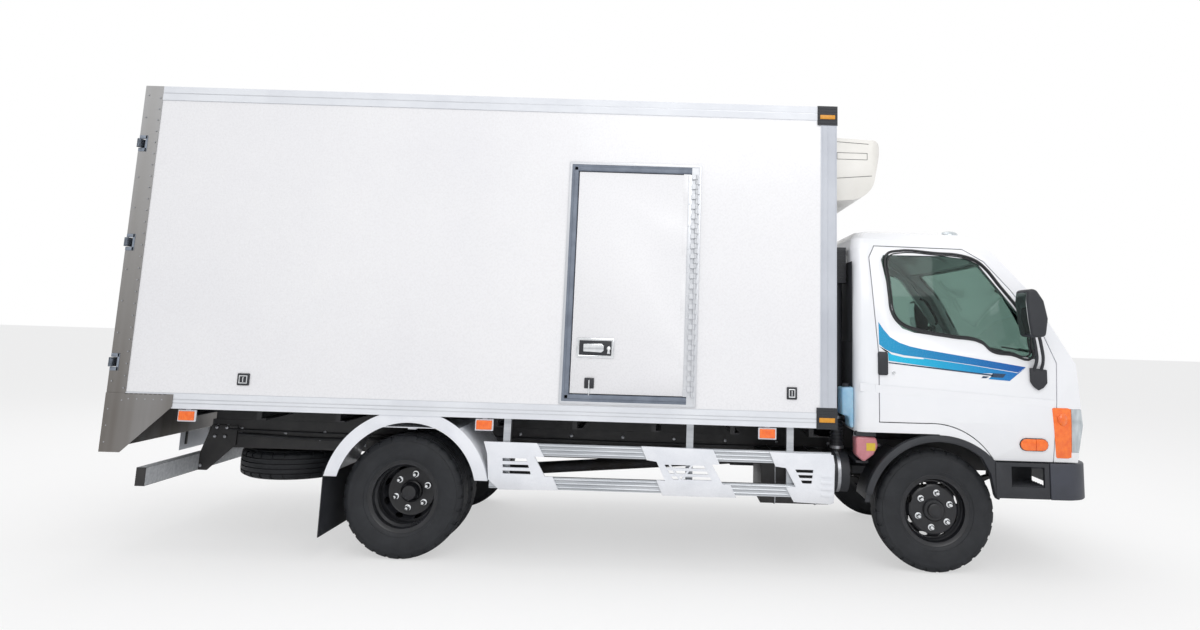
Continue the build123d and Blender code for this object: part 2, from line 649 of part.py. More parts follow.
# Spare wheel, flat under the rear of the frame on its carrier
spare_x = rear_axle_x - 1085
spare_z = 440
with BuildPart() as spare_wheel:
    with BuildSketch(Plane.XZ):
        with BuildLine():
            w = tyre_width / 2
            Polyline((spare_x + rim_radius, spare_z - 80), (spare_x + 280, spare_z - w),
                     (spare_x + tyre_radius - tyre_shoulder, spare_z - w + tyre_shoulder / 2),
                     (spare_x + tyre_radius, spare_z - w + tyre_shoulder),
                     (spare_x + tyre_radius, spare_z + w - tyre_shoulder),
                     (spare_x + tyre_radius - tyre_shoulder, spare_z + w - tyre_shoulder / 2),
                     (spare_x + 280, spare_z + w), (spare_x + rim_radius, spare_z + 80),
                     (spare_x + 150, spare_z + 30), (spare_x, spare_z + 30), (spare_x, spare_z + 16),
                     (spare_x + 140, spare_z + 16), (spare_x + rim_radius - 10, spare_z - 80), close=True)
        make_face()
    revolve(axis=Axis((spare_x, 0, spare_z), (0, 0, 1)), revolution_arc=360)
    with Locations((spare_x, 0, spare_z + 30)):
        Box(60, 60, rail_bottom_z - spare_z - 30 + 20, align=(Align.CENTER, Align.CENTER, Align.MIN))
    with Locations((spare_x, 0, rail_bottom_z + 8)):
        Box(60, 2 * (frame_half_width - rail_wall), 24, align=(Align.CENTER, Align.CENTER, Align.MIN))
write(spare_wheel, "spare_wheel")

# Rear underrun guard: a square tube on two drop plates
underrun_x = rear_axle_x - 1625
underrun_z = 465
with BuildPart() as underrun_guard:
    with Locations((underrun_x, 0, underrun_z)):
        Box(60, 1980, 112)
    for side in (-1, 1):
        with BuildSketch(Plane.XZ.offset(-side * (frame_half_width + 5))):
            with BuildLine():
                Polyline((underrun_x + 30, underrun_z - 56), (underrun_x + 90, underrun_z - 56),
                         (rail_rear_x + 180, rail_bottom_z + 20), (rail_rear_x + 180, rail_bottom_z + 150),
                         (rail_rear_x, rail_bottom_z + 150), (underrun_x + 30, underrun_z + 56), close=True)
            make_face()
        extrude(amount=5, both=True)
write(underrun_guard, "underrun_guard")

# Rear fenders: arched bands over the twin wheels, with a stay to the frame
fender_x = rear_axle_x + 45
fender_z = 410
fender_inner_radius = 440
fender_band = 78
fender_end_z = 515
fender_y0 = 480
fender_y1 = box_half_width - 5
with BuildPart() as rear_fenders:
    for side in (-1, 1):
        with BuildSketch(Plane.XZ.offset(-side * (fender_y0 + fender_y1) / 2)):
            with Locations((fender_x, fender_z)):
                Circle(fender_inner_radius + fender_band)
                Circle(fender_inner_radius + fender_band - 4, mode=Mode.SUBTRACT)
            with Locations((fender_x, fender_end_z)):
                Rectangle(4 * fender_inner_radius, 4 * fender_inner_radius, align=(Align.CENTER, Align.MAX),
                          mode=Mode.SUBTRACT)
            with Locations((fender_x, bearer_top_z - cross_bearer_height)):
                Rectangle(4 * fender_inner_radius, 4 * fender_inner_radius, align=(Align.CENTER, Align.MIN),
                          mode=Mode.SUBTRACT)
            with Locations((fender_x, bearer_top_z - cross_bearer_height - 4)):
                Rectangle(2 * sqrt((fender_inner_radius + fender_band - 4) ** 2
                                   - (bearer_top_z - cross_bearer_height - 4 - fender_z) ** 2) + 4, 4,
                          align=(Align.CENTER, Align.MIN))
        extrude(amount=(fender_y1 - fender_y0) / 2, both=True)
        with BuildSketch(Plane.XZ.offset(-side * (fender_y1 - 3))):
            with Locations((fender_x, fender_z)):
                Circle(fender_inner_radius + fender_band)
                Circle(fender_inner_radius, mode=Mode.SUBTRACT)
            with Locations((fender_x, fender_end_z)):
                Rectangle(4 * fender_inner_radius, 4 * fender_inner_radius, align=(Align.CENTER, Align.MAX),
                          mode=Mode.SUBTRACT)
            with Locations((fender_x, box_bottom_z)):
                Rectangle(4 * fender_inner_radius, 4 * fender_inner_radius, align=(Align.CENTER, Align.MIN),
                          mode=Mode.SUBTRACT)
        extrude(amount=3, both=True)
        with Locations((fender_x, side * frame_half_width, bearer_top_z - cross_bearer_height - 20)):
            Box(50, fender_y1 - 60 - frame_half_width, 20,
                align=(Align.CENTER, Align.MIN if side > 0 else Align.MAX, Align.MIN))
write(rear_fenders, "rear_fenders")

flap_x = fender_x - sqrt((fender_inner_radius + fender_band) ** 2 - (fender_end_z - fender_z) ** 2) - 0.3
flap_bottom_z = 150
with BuildPart() as mudflaps:
    with Locations((flap_x, -(fender_y0 + fender_y1) / 2 - 20, flap_bottom_z),
                   (flap_x, (fender_y0 + fender_y1) / 2 + 20, flap_bottom_z)):
        Box(6, fender_y1 - fender_y0 - 50, fender_end_z + 25 - flap_bottom_z,
            align=(Align.MAX, Align.CENTER, Align.MIN))
write(mudflaps, "mudflaps")

# Side guards: ribbed rails on posts, and three louvred covers on each side
guard_y = 1030
guard_rail_depth = 25
guard_rail_height = 74
guard_rail_z = [671, 471]
guard_x0 = rear_axle_x + 560
guard_x1 = front_axle_x - 700
guard_post_x = [rear_axle_x + 650, rear_axle_x + 1800, front_axle_x - 954]
with BuildPart() as guard_rails:
    for side in (-1, 1):
        with Locations([((guard_x0 + guard_x1) / 2, side * (guard_y - guard_rail_depth / 2),
                         z + guard_rail_height / 2) for z in guard_rail_z]):
            Box(guard_x1 - guard_x0, guard_rail_depth, guard_rail_height)
        with Locations([((guard_x0 + guard_x1) / 2, side * guard_y, z + guard_rail_height / 2)
                        for z in guard_rail_z]):
            Box(guard_x1 - guard_x0, 12, 12, mode=Mode.SUBTRACT)
        with Locations([(x, side * (guard_y - guard_rail_depth), guard_rail_z[1]) for x in guard_post_x]):
            Box(44, 40, box_bottom_z - guard_rail_z[1],
                align=(Align.CENTER, Align.MAX if side > 0 else Align.MIN, Align.MIN))
write(guard_rails, "guard_rails")

cover_thickness = 16
slots_per_window = 3
slot_height = 19
slat_bar_width = 15
end_rib_count = 4
end_rib_height = 16
end_rib_pitch = 38
end_rib_rise = 4
end_rib_z = 490
end_rib_x0 = front_axle_x - 766
end_rib_x1 = front_axle_x - 690
# columns: foot along the truck, the cover's outline as steps from that foot and heights
rear_cover = [(516, 750), (847, 749), (895, 668), (836, 668), (906, 550), (954, 550), (993, 472), (625, 466),
              (556, 525), (541, 678)]
middle_cover = [(1497, 750), (1945, 743), (1989, 655), (1941, 653), (2009, 536), (2057, 536), (2096, 460),
                (1637, 460), (1598, 550), (1652, 548), (1595, 660), (1534, 668)]
front_cover = [(-1087, 740), (-690, 732), (-680, 676), (-686, 447), (-710, 437), (-935, 445), (-983, 530),
               (-924, 537), (-985, 646), (-1050, 654)]
# columns: outline, where it is measured from, low and high edge of its window as height, rear end, front end
cover_rows = [
    (rear_cover, rear_axle_x, (552, 645, 822), (664, 636, 782)),
    (middle_cover, rear_axle_x, (550, 1704, 1945), (652, 1640, 1885)),
    (front_cover, front_axle_x, (550, -877, -825), (646, -930, -812)),
]
# columns: foot and head of each crossed slat of the middle cover, from the rear axle
crossed_slats = [(1752, 1668), (1752, 1822)]


def slot_outlines(foot_x, low, high):
    """The slots of a cover's window, each with ends on the window's slanted sides."""
    pitch = (high[0] - low[0]) / slots_per_window
    outlines = []
    for index in range(slots_per_window):
        middle_z = low[0] + (index + 0.5) * pitch
        corners = []
        for z, order in ((middle_z - slot_height / 2, (1, 2)), (middle_z + slot_height / 2, (2, 1))):
            share = (z - low[0]) / (high[0] - low[0])
            corners += [(foot_x + low[end] + share * (high[end] - low[end]), z) for end in order]
        outlines.append(corners)
    return outlines


with BuildPart() as guard_covers:
    for side in (-1, 1):
        for outline, foot_x, low, high in cover_rows:
            with BuildSketch(Plane.XZ.offset(-side * (guard_y + cover_thickness / 2))):
                with BuildLine():
                    Polyline([(foot_x + x, z) for x, z in outline], close=True)
                make_face()
                for corners in slot_outlines(foot_x, low, high):
                    with BuildLine():
                        Polyline(corners, close=True)
                    make_face(mode=Mode.SUBTRACT)
                if outline is middle_cover:
                    for foot, head in crossed_slats:
                        with BuildLine():
                            Polyline((foot_x + foot - slat_bar_width / 2, low[0] - 4),
                                     (foot_x + foot + slat_bar_width / 2, low[0] - 4),
                                     (foot_x + head + slat_bar_width / 2, high[0] + 4),
                                     (foot_x + head - slat_bar_width / 2, high[0] + 4), close=True)
                        make_face()
            extrude(amount=cover_thickness / 2, both=True)
        with Locations([((end_rib_x0 + end_rib_x1) / 2, side * (guard_y + cover_thickness),
                         end_rib_z + index * end_rib_pitch) for index in range(end_rib_count)]):
            Box(end_rib_x1 - end_rib_x0, 2 * end_rib_rise, end_rib_height)
write(guard_covers, "guard_covers")

# Cab form: plan sections from the sill to the roof. Its doors, glass and lamps are cut from it
# columns: height, half width, back and front edges from the front axle
cab_sections = [
    (720, cab_half_width - 17, -cab_back_offset, 935),
    (950, cab_half_width, -cab_back_offset, 970),
    (1330, cab_half_width, -cab_back_offset, 940),
    (1800, cab_half_width - 57, -cab_back_offset, 675),
    (2050, cab_half_width - 95, -cab_back_offset, 455),
    (2120, cab_half_width - 135, 17 - cab_back_offset, 390),
    (2170, cab_half_width - 215, 55 - cab_back_offset, 285),
    (2205, cab_half_width - 425, 155 - cab_back_offset, 60),
]
roof_start_z = 2000


def cab_form(inset):
    """The cab as one closed form, every wall drawn in by the inset. An inset form is open below the sill."""
    with BuildPart() as form:
        for z, half_width, back, front in cab_sections:
            level = z - inset if z > roof_start_z else z
            if z == cab_sections[0][0] and inset != 0:
                level = z - 10
            x0 = front_axle_x + back + inset
            x1 = front_axle_x + front - inset
            y = half_width - inset
            with BuildSketch(Plane.XY.offset(level)) as section:
                with BuildLine():
                    Polyline((x1 - cab_front_bow, y), (x0, y), (x0, -y), (x1 - cab_front_bow, -y))
                    ThreePointArc((x1 - cab_front_bow, -y), (x1, 0), (x1 - cab_front_bow, y))
                make_face()
                corners = section.vertices().sort_by(Axis.X)
                fillet(corners[:2], max(cab_rear_corner - inset, 12))
                fillet(corners[2:], max(cab_front_corner - inset, 40))
        loft(ruled=True)
    return form.part


def door_outline(gap):
    """Side view of the cab door, let out by a gap."""
    with BuildSketch(Plane.XZ.offset(-2 * cab_half_width)) as outline:
        with BuildLine():
            x = front_axle_x
            l1 = Polyline((x - 82, 938), (x - 380, 938), (x - 382, 1370), (x - 421, 1990), (x - 385, 2066),
                          (x + 200, 2060), (x + 335, 1980), (x + 500, 1790), (x + 672, 1545), (x + 752, 1337),
                          (x + 745, 1097), (x + 715, 700), (x + 357, 700))
            ThreePointArc(l1 @ 1, (x + 200, 868), l1 @ 0)
        make_face()
        if gap > 0:
            offset(amount=gap, kind=Kind.INTERSECTION)
    return outline.sketch


def window_outline():
    """Side view of the door's window."""
    with BuildSketch(Plane.XZ.offset(-2 * cab_half_width)) as outline:
        with BuildLine():
            x = front_axle_x
            Polyline((x - 328, 2008), (x - 345, 1975), (x - 270, 1575), (x - 225, 1528), (x - 150, 1503),
                     (x + 256, 1459), (x + 369, 1398), (x + 630, 1357), (x + 619, 1495), (x + 557, 1623),
                     (x + 302, 1962), (x + 230, 1998), (x + 69, 2013), close=True)
        make_face()
    return outline.sketch


door_sketch = door_outline(0)
doorway_sketch = door_outline(door_gap)
window_sketch = window_outline()
outer_form = cab_form(0)
wall_form = cab_form(cab_wall)
glass_outer_form = cab_form(glass_inset)
glass_inner_form = cab_form(glass_inset + glass_thickness)
seam_form = cab_form(cab_wall + door_gap)
lamp_depth = 45
lamp_form = cab_form(lamp_depth)
slat_outer_form = cab_form(4)
slat_inner_form = cab_form(28)
screen_bottom_z = 1350
rear_window_half_width = 450
rear_window_z0 = 1450
rear_window_z1 = 1880
headlamp_x0 = front_axle_x + 768
headlamp_y0 = 600
headlamp_z0 = 782
headlamp_z1 = 1052
grille_half_width = 540
grille_z0 = 840
grille_z1 = 1040
slat_count = 5

with BuildPart() as doorway_prism:
    extrude(to_extrude=doorway_sketch, amount=4 * cab_half_width)
    with Locations((front_axle_x, 0, cab_floor_z)):
        Box(4 * cab_back_offset, cab_half_width, 3000, mode=Mode.SUBTRACT)
    add(seam_form, mode=Mode.SUBTRACT)

with BuildPart() as screen_cutter:
    with BuildSketch(Plane.YZ.offset(front_axle_x + 300)) as screen_sketch:
        with Locations((0, screen_bottom_z)):
            Trapezoid(1750, 650, 83, align=(Align.CENTER, Align.MIN))
        fillet(screen_sketch.vertices(), 55)
    extrude(amount=900)
    with BuildSketch(Plane.YZ.offset(front_axle_x - cab_back_offset - 20)):
        with Locations((0, (rear_window_z0 + rear_window_z1) / 2)):
            RectangleRounded(2 * rear_window_half_width, rear_window_z1 - rear_window_z0, 50)
    extrude(amount=90)

with BuildPart() as lamp_cutter:
    for side in (-1, 1):
        with Locations((headlamp_x0, side * headlamp_y0, headlamp_z0)):
            Box(600, 600, headlamp_z1 - headlamp_z0,
                align=(Align.MIN, Align.MIN if side > 0 else Align.MAX, Align.MIN))

with BuildPart() as headlamps:
    add(outer_form)
    add(lamp_form, mode=Mode.SUBTRACT)
    add(lamp_cutter.part, mode=Mode.INTERSECT)
write(headlamps, "headlamps")

with BuildPart() as grille_block:
    with Locations((front_axle_x + 800, 0, grille_z0)):
        Box(400, 2 * grille_half_width, grille_z1 - grille_z0, align=(Align.MIN, Align.CENTER, Align.MIN))

with BuildPart() as cab_shell:
    add(outer_form)
    with Locations((front_axle_x - 2 * cab_back_offset, 0, 0)):
        Box(2 * cab_back_offset, 3 * cab_half_width, cab_floor_z, align=(Align.MIN, Align.CENTER, Align.MIN),
            mode=Mode.SUBTRACT)
    with BuildSketch(Plane.XZ):
        with Locations((front_axle_x, axle_z)):
            Circle(wheel_arch_radius)
    extrude(amount=2 * cab_half_width, both=True, mode=Mode.SUBTRACT)
    with Locations((front_axle_x, 0, 0)):
        Box(850, 2 * (cab_half_width - cab_wall), cab_floor_z, align=(Align.MIN, Align.CENTER, Align.MIN),
            mode=Mode.SUBTRACT)
    with BuildPart(mode=Mode.PRIVATE) as cabin:
        add(wall_form)
        with Locations((front_axle_x, 0, 0)):
            Box(4 * cab_back_offset, 3 * cab_half_width, cab_floor_z + cab_floor_thickness,
                align=(Align.CENTER, Align.CENTER, Align.MIN), mode=Mode.SUBTRACT)
    add(cabin.part, mode=Mode.SUBTRACT)
    add(doorway_prism.part, mode=Mode.SUBTRACT)
    add(screen_cutter.part, mode=Mode.SUBTRACT)
    add(headlamps.part, mode=Mode.SUBTRACT)
    with BuildPart(mode=Mode.PRIVATE) as grille_pocket:
        add(grille_block.part)
        add(slat_inner_form, mode=Mode.SUBTRACT)
    add(grille_pocket.part, mode=Mode.SUBTRACT)
write(cab_shell, "cab_shell")

with BuildPart() as cab_glass:
    add(glass_outer_form)
    add(glass_inner_form, mode=Mode.SUBTRACT)
    add(screen_cutter.part, mode=Mode.INTERSECT)
write(cab_glass, "cab_glass")

# Cab doors with their glass and mirrors
for side, name in sides:
    with BuildPart() as cab_door:
        add(outer_form)
        add(wall_form, mode=Mode.SUBTRACT)
        extrude(to_extrude=door_sketch, amount=4 * cab_half_width, mode=Mode.INTERSECT)
        extrude(to_extrude=window_sketch, amount=4 * cab_half_width, mode=Mode.SUBTRACT)
        with Locations((front_axle_x, side * 300, 0)):
            Box(4 * cab_back_offset, 4 * cab_half_width, 6000,
                align=(Align.CENTER, Align.MAX if side > 0 else Align.MIN, Align.CENTER), mode=Mode.SUBTRACT)
    write(cab_door, f"{name}_door")
    with BuildPart() as door_glass:
        add(glass_outer_form)
        add(glass_inner_form, mode=Mode.SUBTRACT)
        extrude(to_extrude=window_sketch, amount=4 * cab_half_width, mode=Mode.INTERSECT)
        with Locations((front_axle_x, side * 300, 0)):
            Box(4 * cab_back_offset, 4 * cab_half_width, 6000,
                align=(Align.CENTER, Align.MAX if side > 0 else Align.MIN, Align.CENTER), mode=Mode.SUBTRACT)
    write(door_glass, f"{name}_door_glass")
    with BuildPart() as mirror_unit:
        with Locations((front_axle_x + 635, side * cab_half_width, 1240)):
            Box(110, 26, 130, align=(Align.CENTER, Align.MIN if side > 0 else Align.MAX, Align.CENTER))
        arm_start = Vector(front_axle_x + 635, side * (cab_half_width + 22), 1265)
        arm_end = Vector(front_axle_x + 548, side * 1110, 1560)
        with BuildSketch(Plane(origin=arm_start, z_dir=arm_end - arm_start)):
            Circle(17)
        extrude(amount=(arm_end - arm_start).length)
        with BuildSketch(Plane.XY.offset(1494)):
            with Locations(Location((front_axle_x + 540, side * 1130, 0), (0, 0, side * -14))):
                RectangleRounded(105, 190, 34)
        extrude(amount=301)
    write(mirror_unit, f"{name}_mirror")

# Front bumper, entry steps and grille
bumper_z0 = 490
bumper_z1 = 712
bumper_wall = 55
bumper_corner = 190
bumper_end_x = front_axle_x + 690
with BuildPart() as front_bumper:
    with BuildSketch(Plane.XY.offset(bumper_z0)) as bumper_plan:
        with BuildLine():
            x1 = front_axle_x + front_overhang
            y = cab_half_width
            Polyline((x1 - cab_front_bow, y), (front_axle_x, y), (front_axle_x, -y), (x1 - cab_front_bow, -y))
            ThreePointArc((x1 - cab_front_bow, -y), (x1, 0), (x1 - cab_front_bow, y))
        make_face()
        fillet(bumper_plan.vertices().sort_by(Axis.X)[2:], bumper_corner)
        offset(amount=-bumper_wall, mode=Mode.SUBTRACT)
        with Locations((bumper_end_x, 0)):
            Rectangle(3000, 3000, align=(Align.MAX, Align.CENTER), mode=Mode.SUBTRACT)
    extrude(amount=bumper_z1 - bumper_z0)
    for side in (-1, 1):
        with Locations((rail_front_x, side * (frame_half_width - 35), rail_bottom_z + 20)):
            Box(front_axle_x + front_overhang - rail_front_x - bumper_wall, 50, 110,
                align=(Align.MIN, Align.CENTER, Align.MIN))
write(front_bumper, "front_bumper")

step_x0 = front_axle_x + 348
step_inner_x0 = front_axle_x + 442
step_x1 = front_axle_x + 684
step_z0 = 494
step_z1 = 710
with BuildPart() as entry_steps:
    for side in (-1, 1):
        out = Align.MAX if side > 0 else Align.MIN
        with Locations((step_x0, side * cab_half_width, step_z0)):
            Box(step_x1 - step_x0, 25, step_z1 - step_z0, align=(Align.MIN, out, Align.MIN))
        with Locations((step_inner_x0 + 4, side * cab_half_width, step_z0 + 70)):
            Box(step_x1 - step_inner_x0 - 34, 80, step_z1 - step_z0 - 92,
                align=(Align.MIN, Align.CENTER, Align.MIN), mode=Mode.SUBTRACT)
        with Locations((step_inner_x0, side * cab_half_width, step_z0 + 36)):
            Box(step_x1 - step_inner_x0, 265, 32, align=(Align.MIN, out, Align.MIN))
        with Locations((step_inner_x0, side * (cab_half_width - 250), step_z0 + 36)):
            Box(step_x1 - step_inner_x0, 15, step_z1 - step_z0 - 36, align=(Align.MIN, out, Align.MIN))
        with Locations((step_inner_x0 + 120, side * frame_half_width, step_z0 + 110)):
            Box(45, cab_half_width - 264 - frame_half_width, 45,
                align=(Align.MIN, Align.MIN if side > 0 else Align.MAX, Align.MIN))
write(entry_steps, "entry_steps")

# Beacon on the roof
beacon_x = front_axle_x + 320
beacon_y = -300
beacon_radius = 76
beacon_base_z = 2192
beacon_top_z = 2254
with BuildPart() as beacon:
    with BuildPart(mode=Mode.PRIVATE) as beacon_base:
        with Locations((beacon_x, beacon_y, 2060)):
            Cylinder(beacon_radius, beacon_base_z - 2060, align=(Align.CENTER, Align.CENTER, Align.MIN))
        add(outer_form, mode=Mode.SUBTRACT)
    add(beacon_base.part.solids().sort_by(Axis.Z)[-1])
    with Locations((beacon_x, beacon_y, beacon_base_z)):
        Cone(beacon_radius - 3, beacon_radius - 26, beacon_top_z - beacon_base_z,
             align=(Align.CENTER, Align.CENTER, Align.MIN))
write(beacon, "beacon")

# Inside the cab
cabin_floor_z = cab_floor_z + cab_floor_thickness
with BuildPart() as dashboard:
    with BuildSketch(Plane.XZ):
        with BuildLine():
            x = front_axle_x
            Polyline((x + 560, 1300), (x + 900, 1330), (x + 900, cabin_floor_z), (x + 740, cabin_floor_z),
                     (x + 640, 1080), (x + 530, 1170), close=True)
        make_face()
    extrude(amount=cab_half_width, both=True)
    add(seam_form, mode=Mode.INTERSECT)
write(dashboard, "dashboard")

seat_back_x = front_axle_x - cab_back_offset + cab_wall + 20
# columns: middle of the seat across the cab, its width
seat_rows = [(520, 520), (0, 400), (-520, 520)]
with BuildPart() as seats:
    for seat_y, seat_width in seat_rows:
        with BuildSketch(Plane.XZ.offset(-seat_y)):
            with BuildLine():
                x = seat_back_x
                Polyline((x + 60, cabin_floor_z), (x + 520, cabin_floor_z), (x + 560, cabin_floor_z + 190),
                         (x + 590, cabin_floor_z + 330), (x + 180, cabin_floor_z + 300),
                         (x + 90, cabin_floor_z + 900), (x + 10, cabin_floor_z + 900),
                         (x + 60, cabin_floor_z + 300), close=True)
            make_face()
        extrude(amount=seat_width / 2 - 4, both=True)
write(seats, "seats")

wheel_centre = Vector(front_axle_x + 330, 520, 1400)
column_foot = Vector(front_axle_x + 640, 520, 1150)
steering_wheel_radius = 205
steering_rim_radius = 15
steering_rim_sides = 8
with BuildPart() as steering_wheel:
    wheel_plane = Plane(origin=wheel_centre, x_dir=(0, 1, 0), z_dir=column_foot - wheel_centre)
    rim_section = Plane(origin=wheel_centre, x_dir=wheel_plane.y_dir, z_dir=wheel_plane.x_dir)
    with BuildSketch(rim_section):
        with Locations((steering_wheel_radius, 0)):
            RegularPolygon(steering_rim_radius, steering_rim_sides)
    revolve(axis=Axis(wheel_centre, wheel_plane.z_dir), revolution_arc=360)
    with BuildSketch(wheel_plane):
        Circle(55)
        Rectangle(2 * steering_wheel_radius - 10, 30)
    extrude(amount=24)
    with BuildSketch(wheel_plane):
        Circle(26)
    extrude(amount=(column_foot - wheel_centre).length)
    add(dashboard.part, mode=Mode.SUBTRACT)
write(steering_wheel, "steering_wheel")

# Steering knuckles and the tie rod between their arms
arm_length = 140
arm_z = axle_z - 50
ear_height = 30
pin_gap = 0.3
stub_end_y = front_tyre_y + 20 - pin_gap
for side, name in sides:
    with BuildPart() as knuckle:
        for z0 in (axle_z + eye_height / 2 + pin_gap, axle_z - eye_height / 2 - pin_gap - ear_height):
            with BuildSketch(Plane.XY.offset(z0)):
                with Locations((front_axle_x, side * kingpin_y)):
                    Circle(eye_radius - 4)
                with Locations((front_axle_x, side * (kingpin_y + 70))):
                    Rectangle(70, 70, align=(Align.CENTER, Align.MAX if side > 0 else Align.MIN))
            extrude(amount=ear_height)
        with Locations((front_axle_x, side * (kingpin_y + 70), axle_z)):
            Box(70, 24, eye_height + 2 * ear_height + 2 * pin_gap,
                align=(Align.CENTER, Align.MAX if side > 0 else Align.MIN, Align.CENTER))
        with BuildSketch(Plane.XZ.offset(-side * (kingpin_y + 69))):
            with Locations((front_axle_x, axle_z)):
                Circle(150)
        extrude(amount=3, both=True)
        with BuildSketch(Plane.XZ.offset(-side * (kingpin_y + 60))):
            with Locations((front_axle_x, axle_z)):
                Circle(32)
        extrude(amount=-side * (stub_end_y - kingpin_y - 60))
        with BuildSketch(Plane.XY.offset(arm_z - 12)):
            with BuildLine():
                Polyline((front_axle_x - 20, side * (kingpin_y + 48)),
                         (front_axle_x - 20, side * (kingpin_y + 68)),
                         (front_axle_x - 60, side * (kingpin_y + 68)),
                         (front_axle_x - arm_length - 8, side * (kingpin_y + 16)),
                         (front_axle_x - arm_length + 8, side * (kingpin_y - 14)), close=True)
            make_face()
            with Locations((front_axle_x - arm_length, side * kingpin_y)):
                Circle(18)
        extrude(amount=24)
    write(knuckle, f"{name}_knuckle")

tie_rod_z = arm_z - 12 - pin_gap - 14
with BuildPart() as tie_rod:
    with BuildSketch(Plane.XZ.offset(-kingpin_y)):
        with Locations((front_axle_x - arm_length, tie_rod_z)):
            Circle(12)
    extrude(amount=2 * kingpin_y)
    with Locations((front_axle_x - arm_length, -kingpin_y, tie_rod_z),
                   (front_axle_x - arm_length, kingpin_y, tie_rod_z)):
        Cylinder(18, 28)
write(tie_rod, "tie_rod")

# Half fenders behind the front wheels
half_fender_radius = 447
half_fender_z0 = 440
with BuildPart() as front_fenders:
    for side in (-1, 1):
        with BuildSketch(Plane.XZ.offset(-side * 790)):
            with Locations((front_axle_x, axle_z)):
                Circle(half_fender_radius + 5)
                Circle(half_fender_radius, mode=Mode.SUBTRACT)
            with Locations((front_axle_x, half_fender_z0)):
                Rectangle(2000, 2000, align=(Align.CENTER, Align.MAX), mode=Mode.SUBTRACT)
            with Locations((front_axle_x - 250, axle_z)):
                Rectangle(2000, 2000, align=(Align.MIN, Align.CENTER), mode=Mode.SUBTRACT)
        extrude(amount=170, both=True)
        with BuildSketch(Plane.XZ.offset(-side * 957)):
            with Locations((front_axle_x, axle_z)):
                Circle(half_fender_radius + 30)
                Circle(half_fender_radius, mode=Mode.SUBTRACT)
            with Locations((front_axle_x, half_fender_z0)):
                Rectangle(2000, 2000, align=(Align.CENTER, Align.MAX), mode=Mode.SUBTRACT)
            with Locations((front_axle_x - 250, axle_z)):
                Rectangle(2000, 2000, align=(Align.MIN, Align.CENTER), mode=Mode.SUBTRACT)
        extrude(amount=3, both=True)
        with BuildSketch(Plane.XZ.offset(-side * frame_half_width)):
            with Locations((front_axle_x - half_fender_radius - 30, 560)):
                Rectangle(100, 50, align=(Align.MIN, Align.MIN))
            with Locations((front_axle_x, axle_z)):
                Circle(half_fender_radius, mode=Mode.SUBTRACT)
        extrude(amount=-side * 240)
write(front_fenders, "front_fenders")

# Air intake behind the cab on the right: snorkel, hose and round cleaner
snorkel_x = box_front_x + 68
snorkel_y = -720
cleaner_z = 590
with BuildPart() as air_intake:
    with Locations((snorkel_x, snorkel_y, 1820)):
        Box(95, 160, 240, align=(Align.CENTER, Align.CENTER, Align.MIN))
    with Locations((snorkel_x, snorkel_y, cleaner_z)):
        Cylinder(36, 1820 - cleaner_z, align=(Align.CENTER, Align.CENTER, Align.MIN))
    with Locations([(snorkel_x, snorkel_y, 760 + 22 * index) for index in range(8)]):
        Cylinder(44, 12)
    with BuildSketch(Plane.YZ.offset(snorkel_x - 52)):
        with Locations((snorkel_y - 40, cleaner_z)):
            Circle(125)
    extrude(amount=106)
    with Locations((snorkel_x, -frame_half_width, cleaner_z + 60)):
        Box(50, 250, 30, align=(Align.CENTER, Align.MAX, Align.CENTER))
write(air_intake, "air_intake")

# Washer tank on the back of the cab and coolant bottle behind the right half fender
with BuildPart() as fluid_bottles:
    with BuildSketch(Plane.XY.offset(885)):
        with Locations((front_axle_x - cab_back_offset - 0.3, -850)):
            RectangleRounded(92, 120, 18, align=(Align.MAX, Align.CENTER))
    extrude(amount=262)
    with BuildSketch(Plane.XZ.offset(905)):
        with BuildLine():
            x = front_axle_x
            Polyline((x - 512, 840), (x - 380, 840), (x - 372, 790), (x - 405, 700), (x - 478, 618),
                     (x - 512, 650), close=True)
        make_face()
    extrude(amount=45, both=True)
    with Locations((front_axle_x - 485, -frame_half_width, 730)):
        Box(40, 462, 16, align=(Align.CENTER, Align.MAX, Align.CENTER))
write(fluid_bottles, "fluid_bottles")

# Front grille: slats that follow the cab's bow, in a frame
with BuildPart() as front_grille:
    add(slat_outer_form)
    add(slat_inner_form, mode=Mode.SUBTRACT)
    add(grille_block.part, mode=Mode.INTERSECT)
    slat_pitch = (grille_z1 - grille_z0) / slat_count
    with Locations([(front_axle_x + 900, 0, grille_z0 + (index + 0.5) * slat_pitch)
                    for index in range(slat_count)]):
        Box(600, 2 * grille_half_width - 40, slat_pitch * 0.5, mode=Mode.SUBTRACT)
write(front_grille, "front_grille")
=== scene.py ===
import json
import math
import bpy
from mathutils import Matrix, Vector
from mathutils.bvhtree import BVHTree


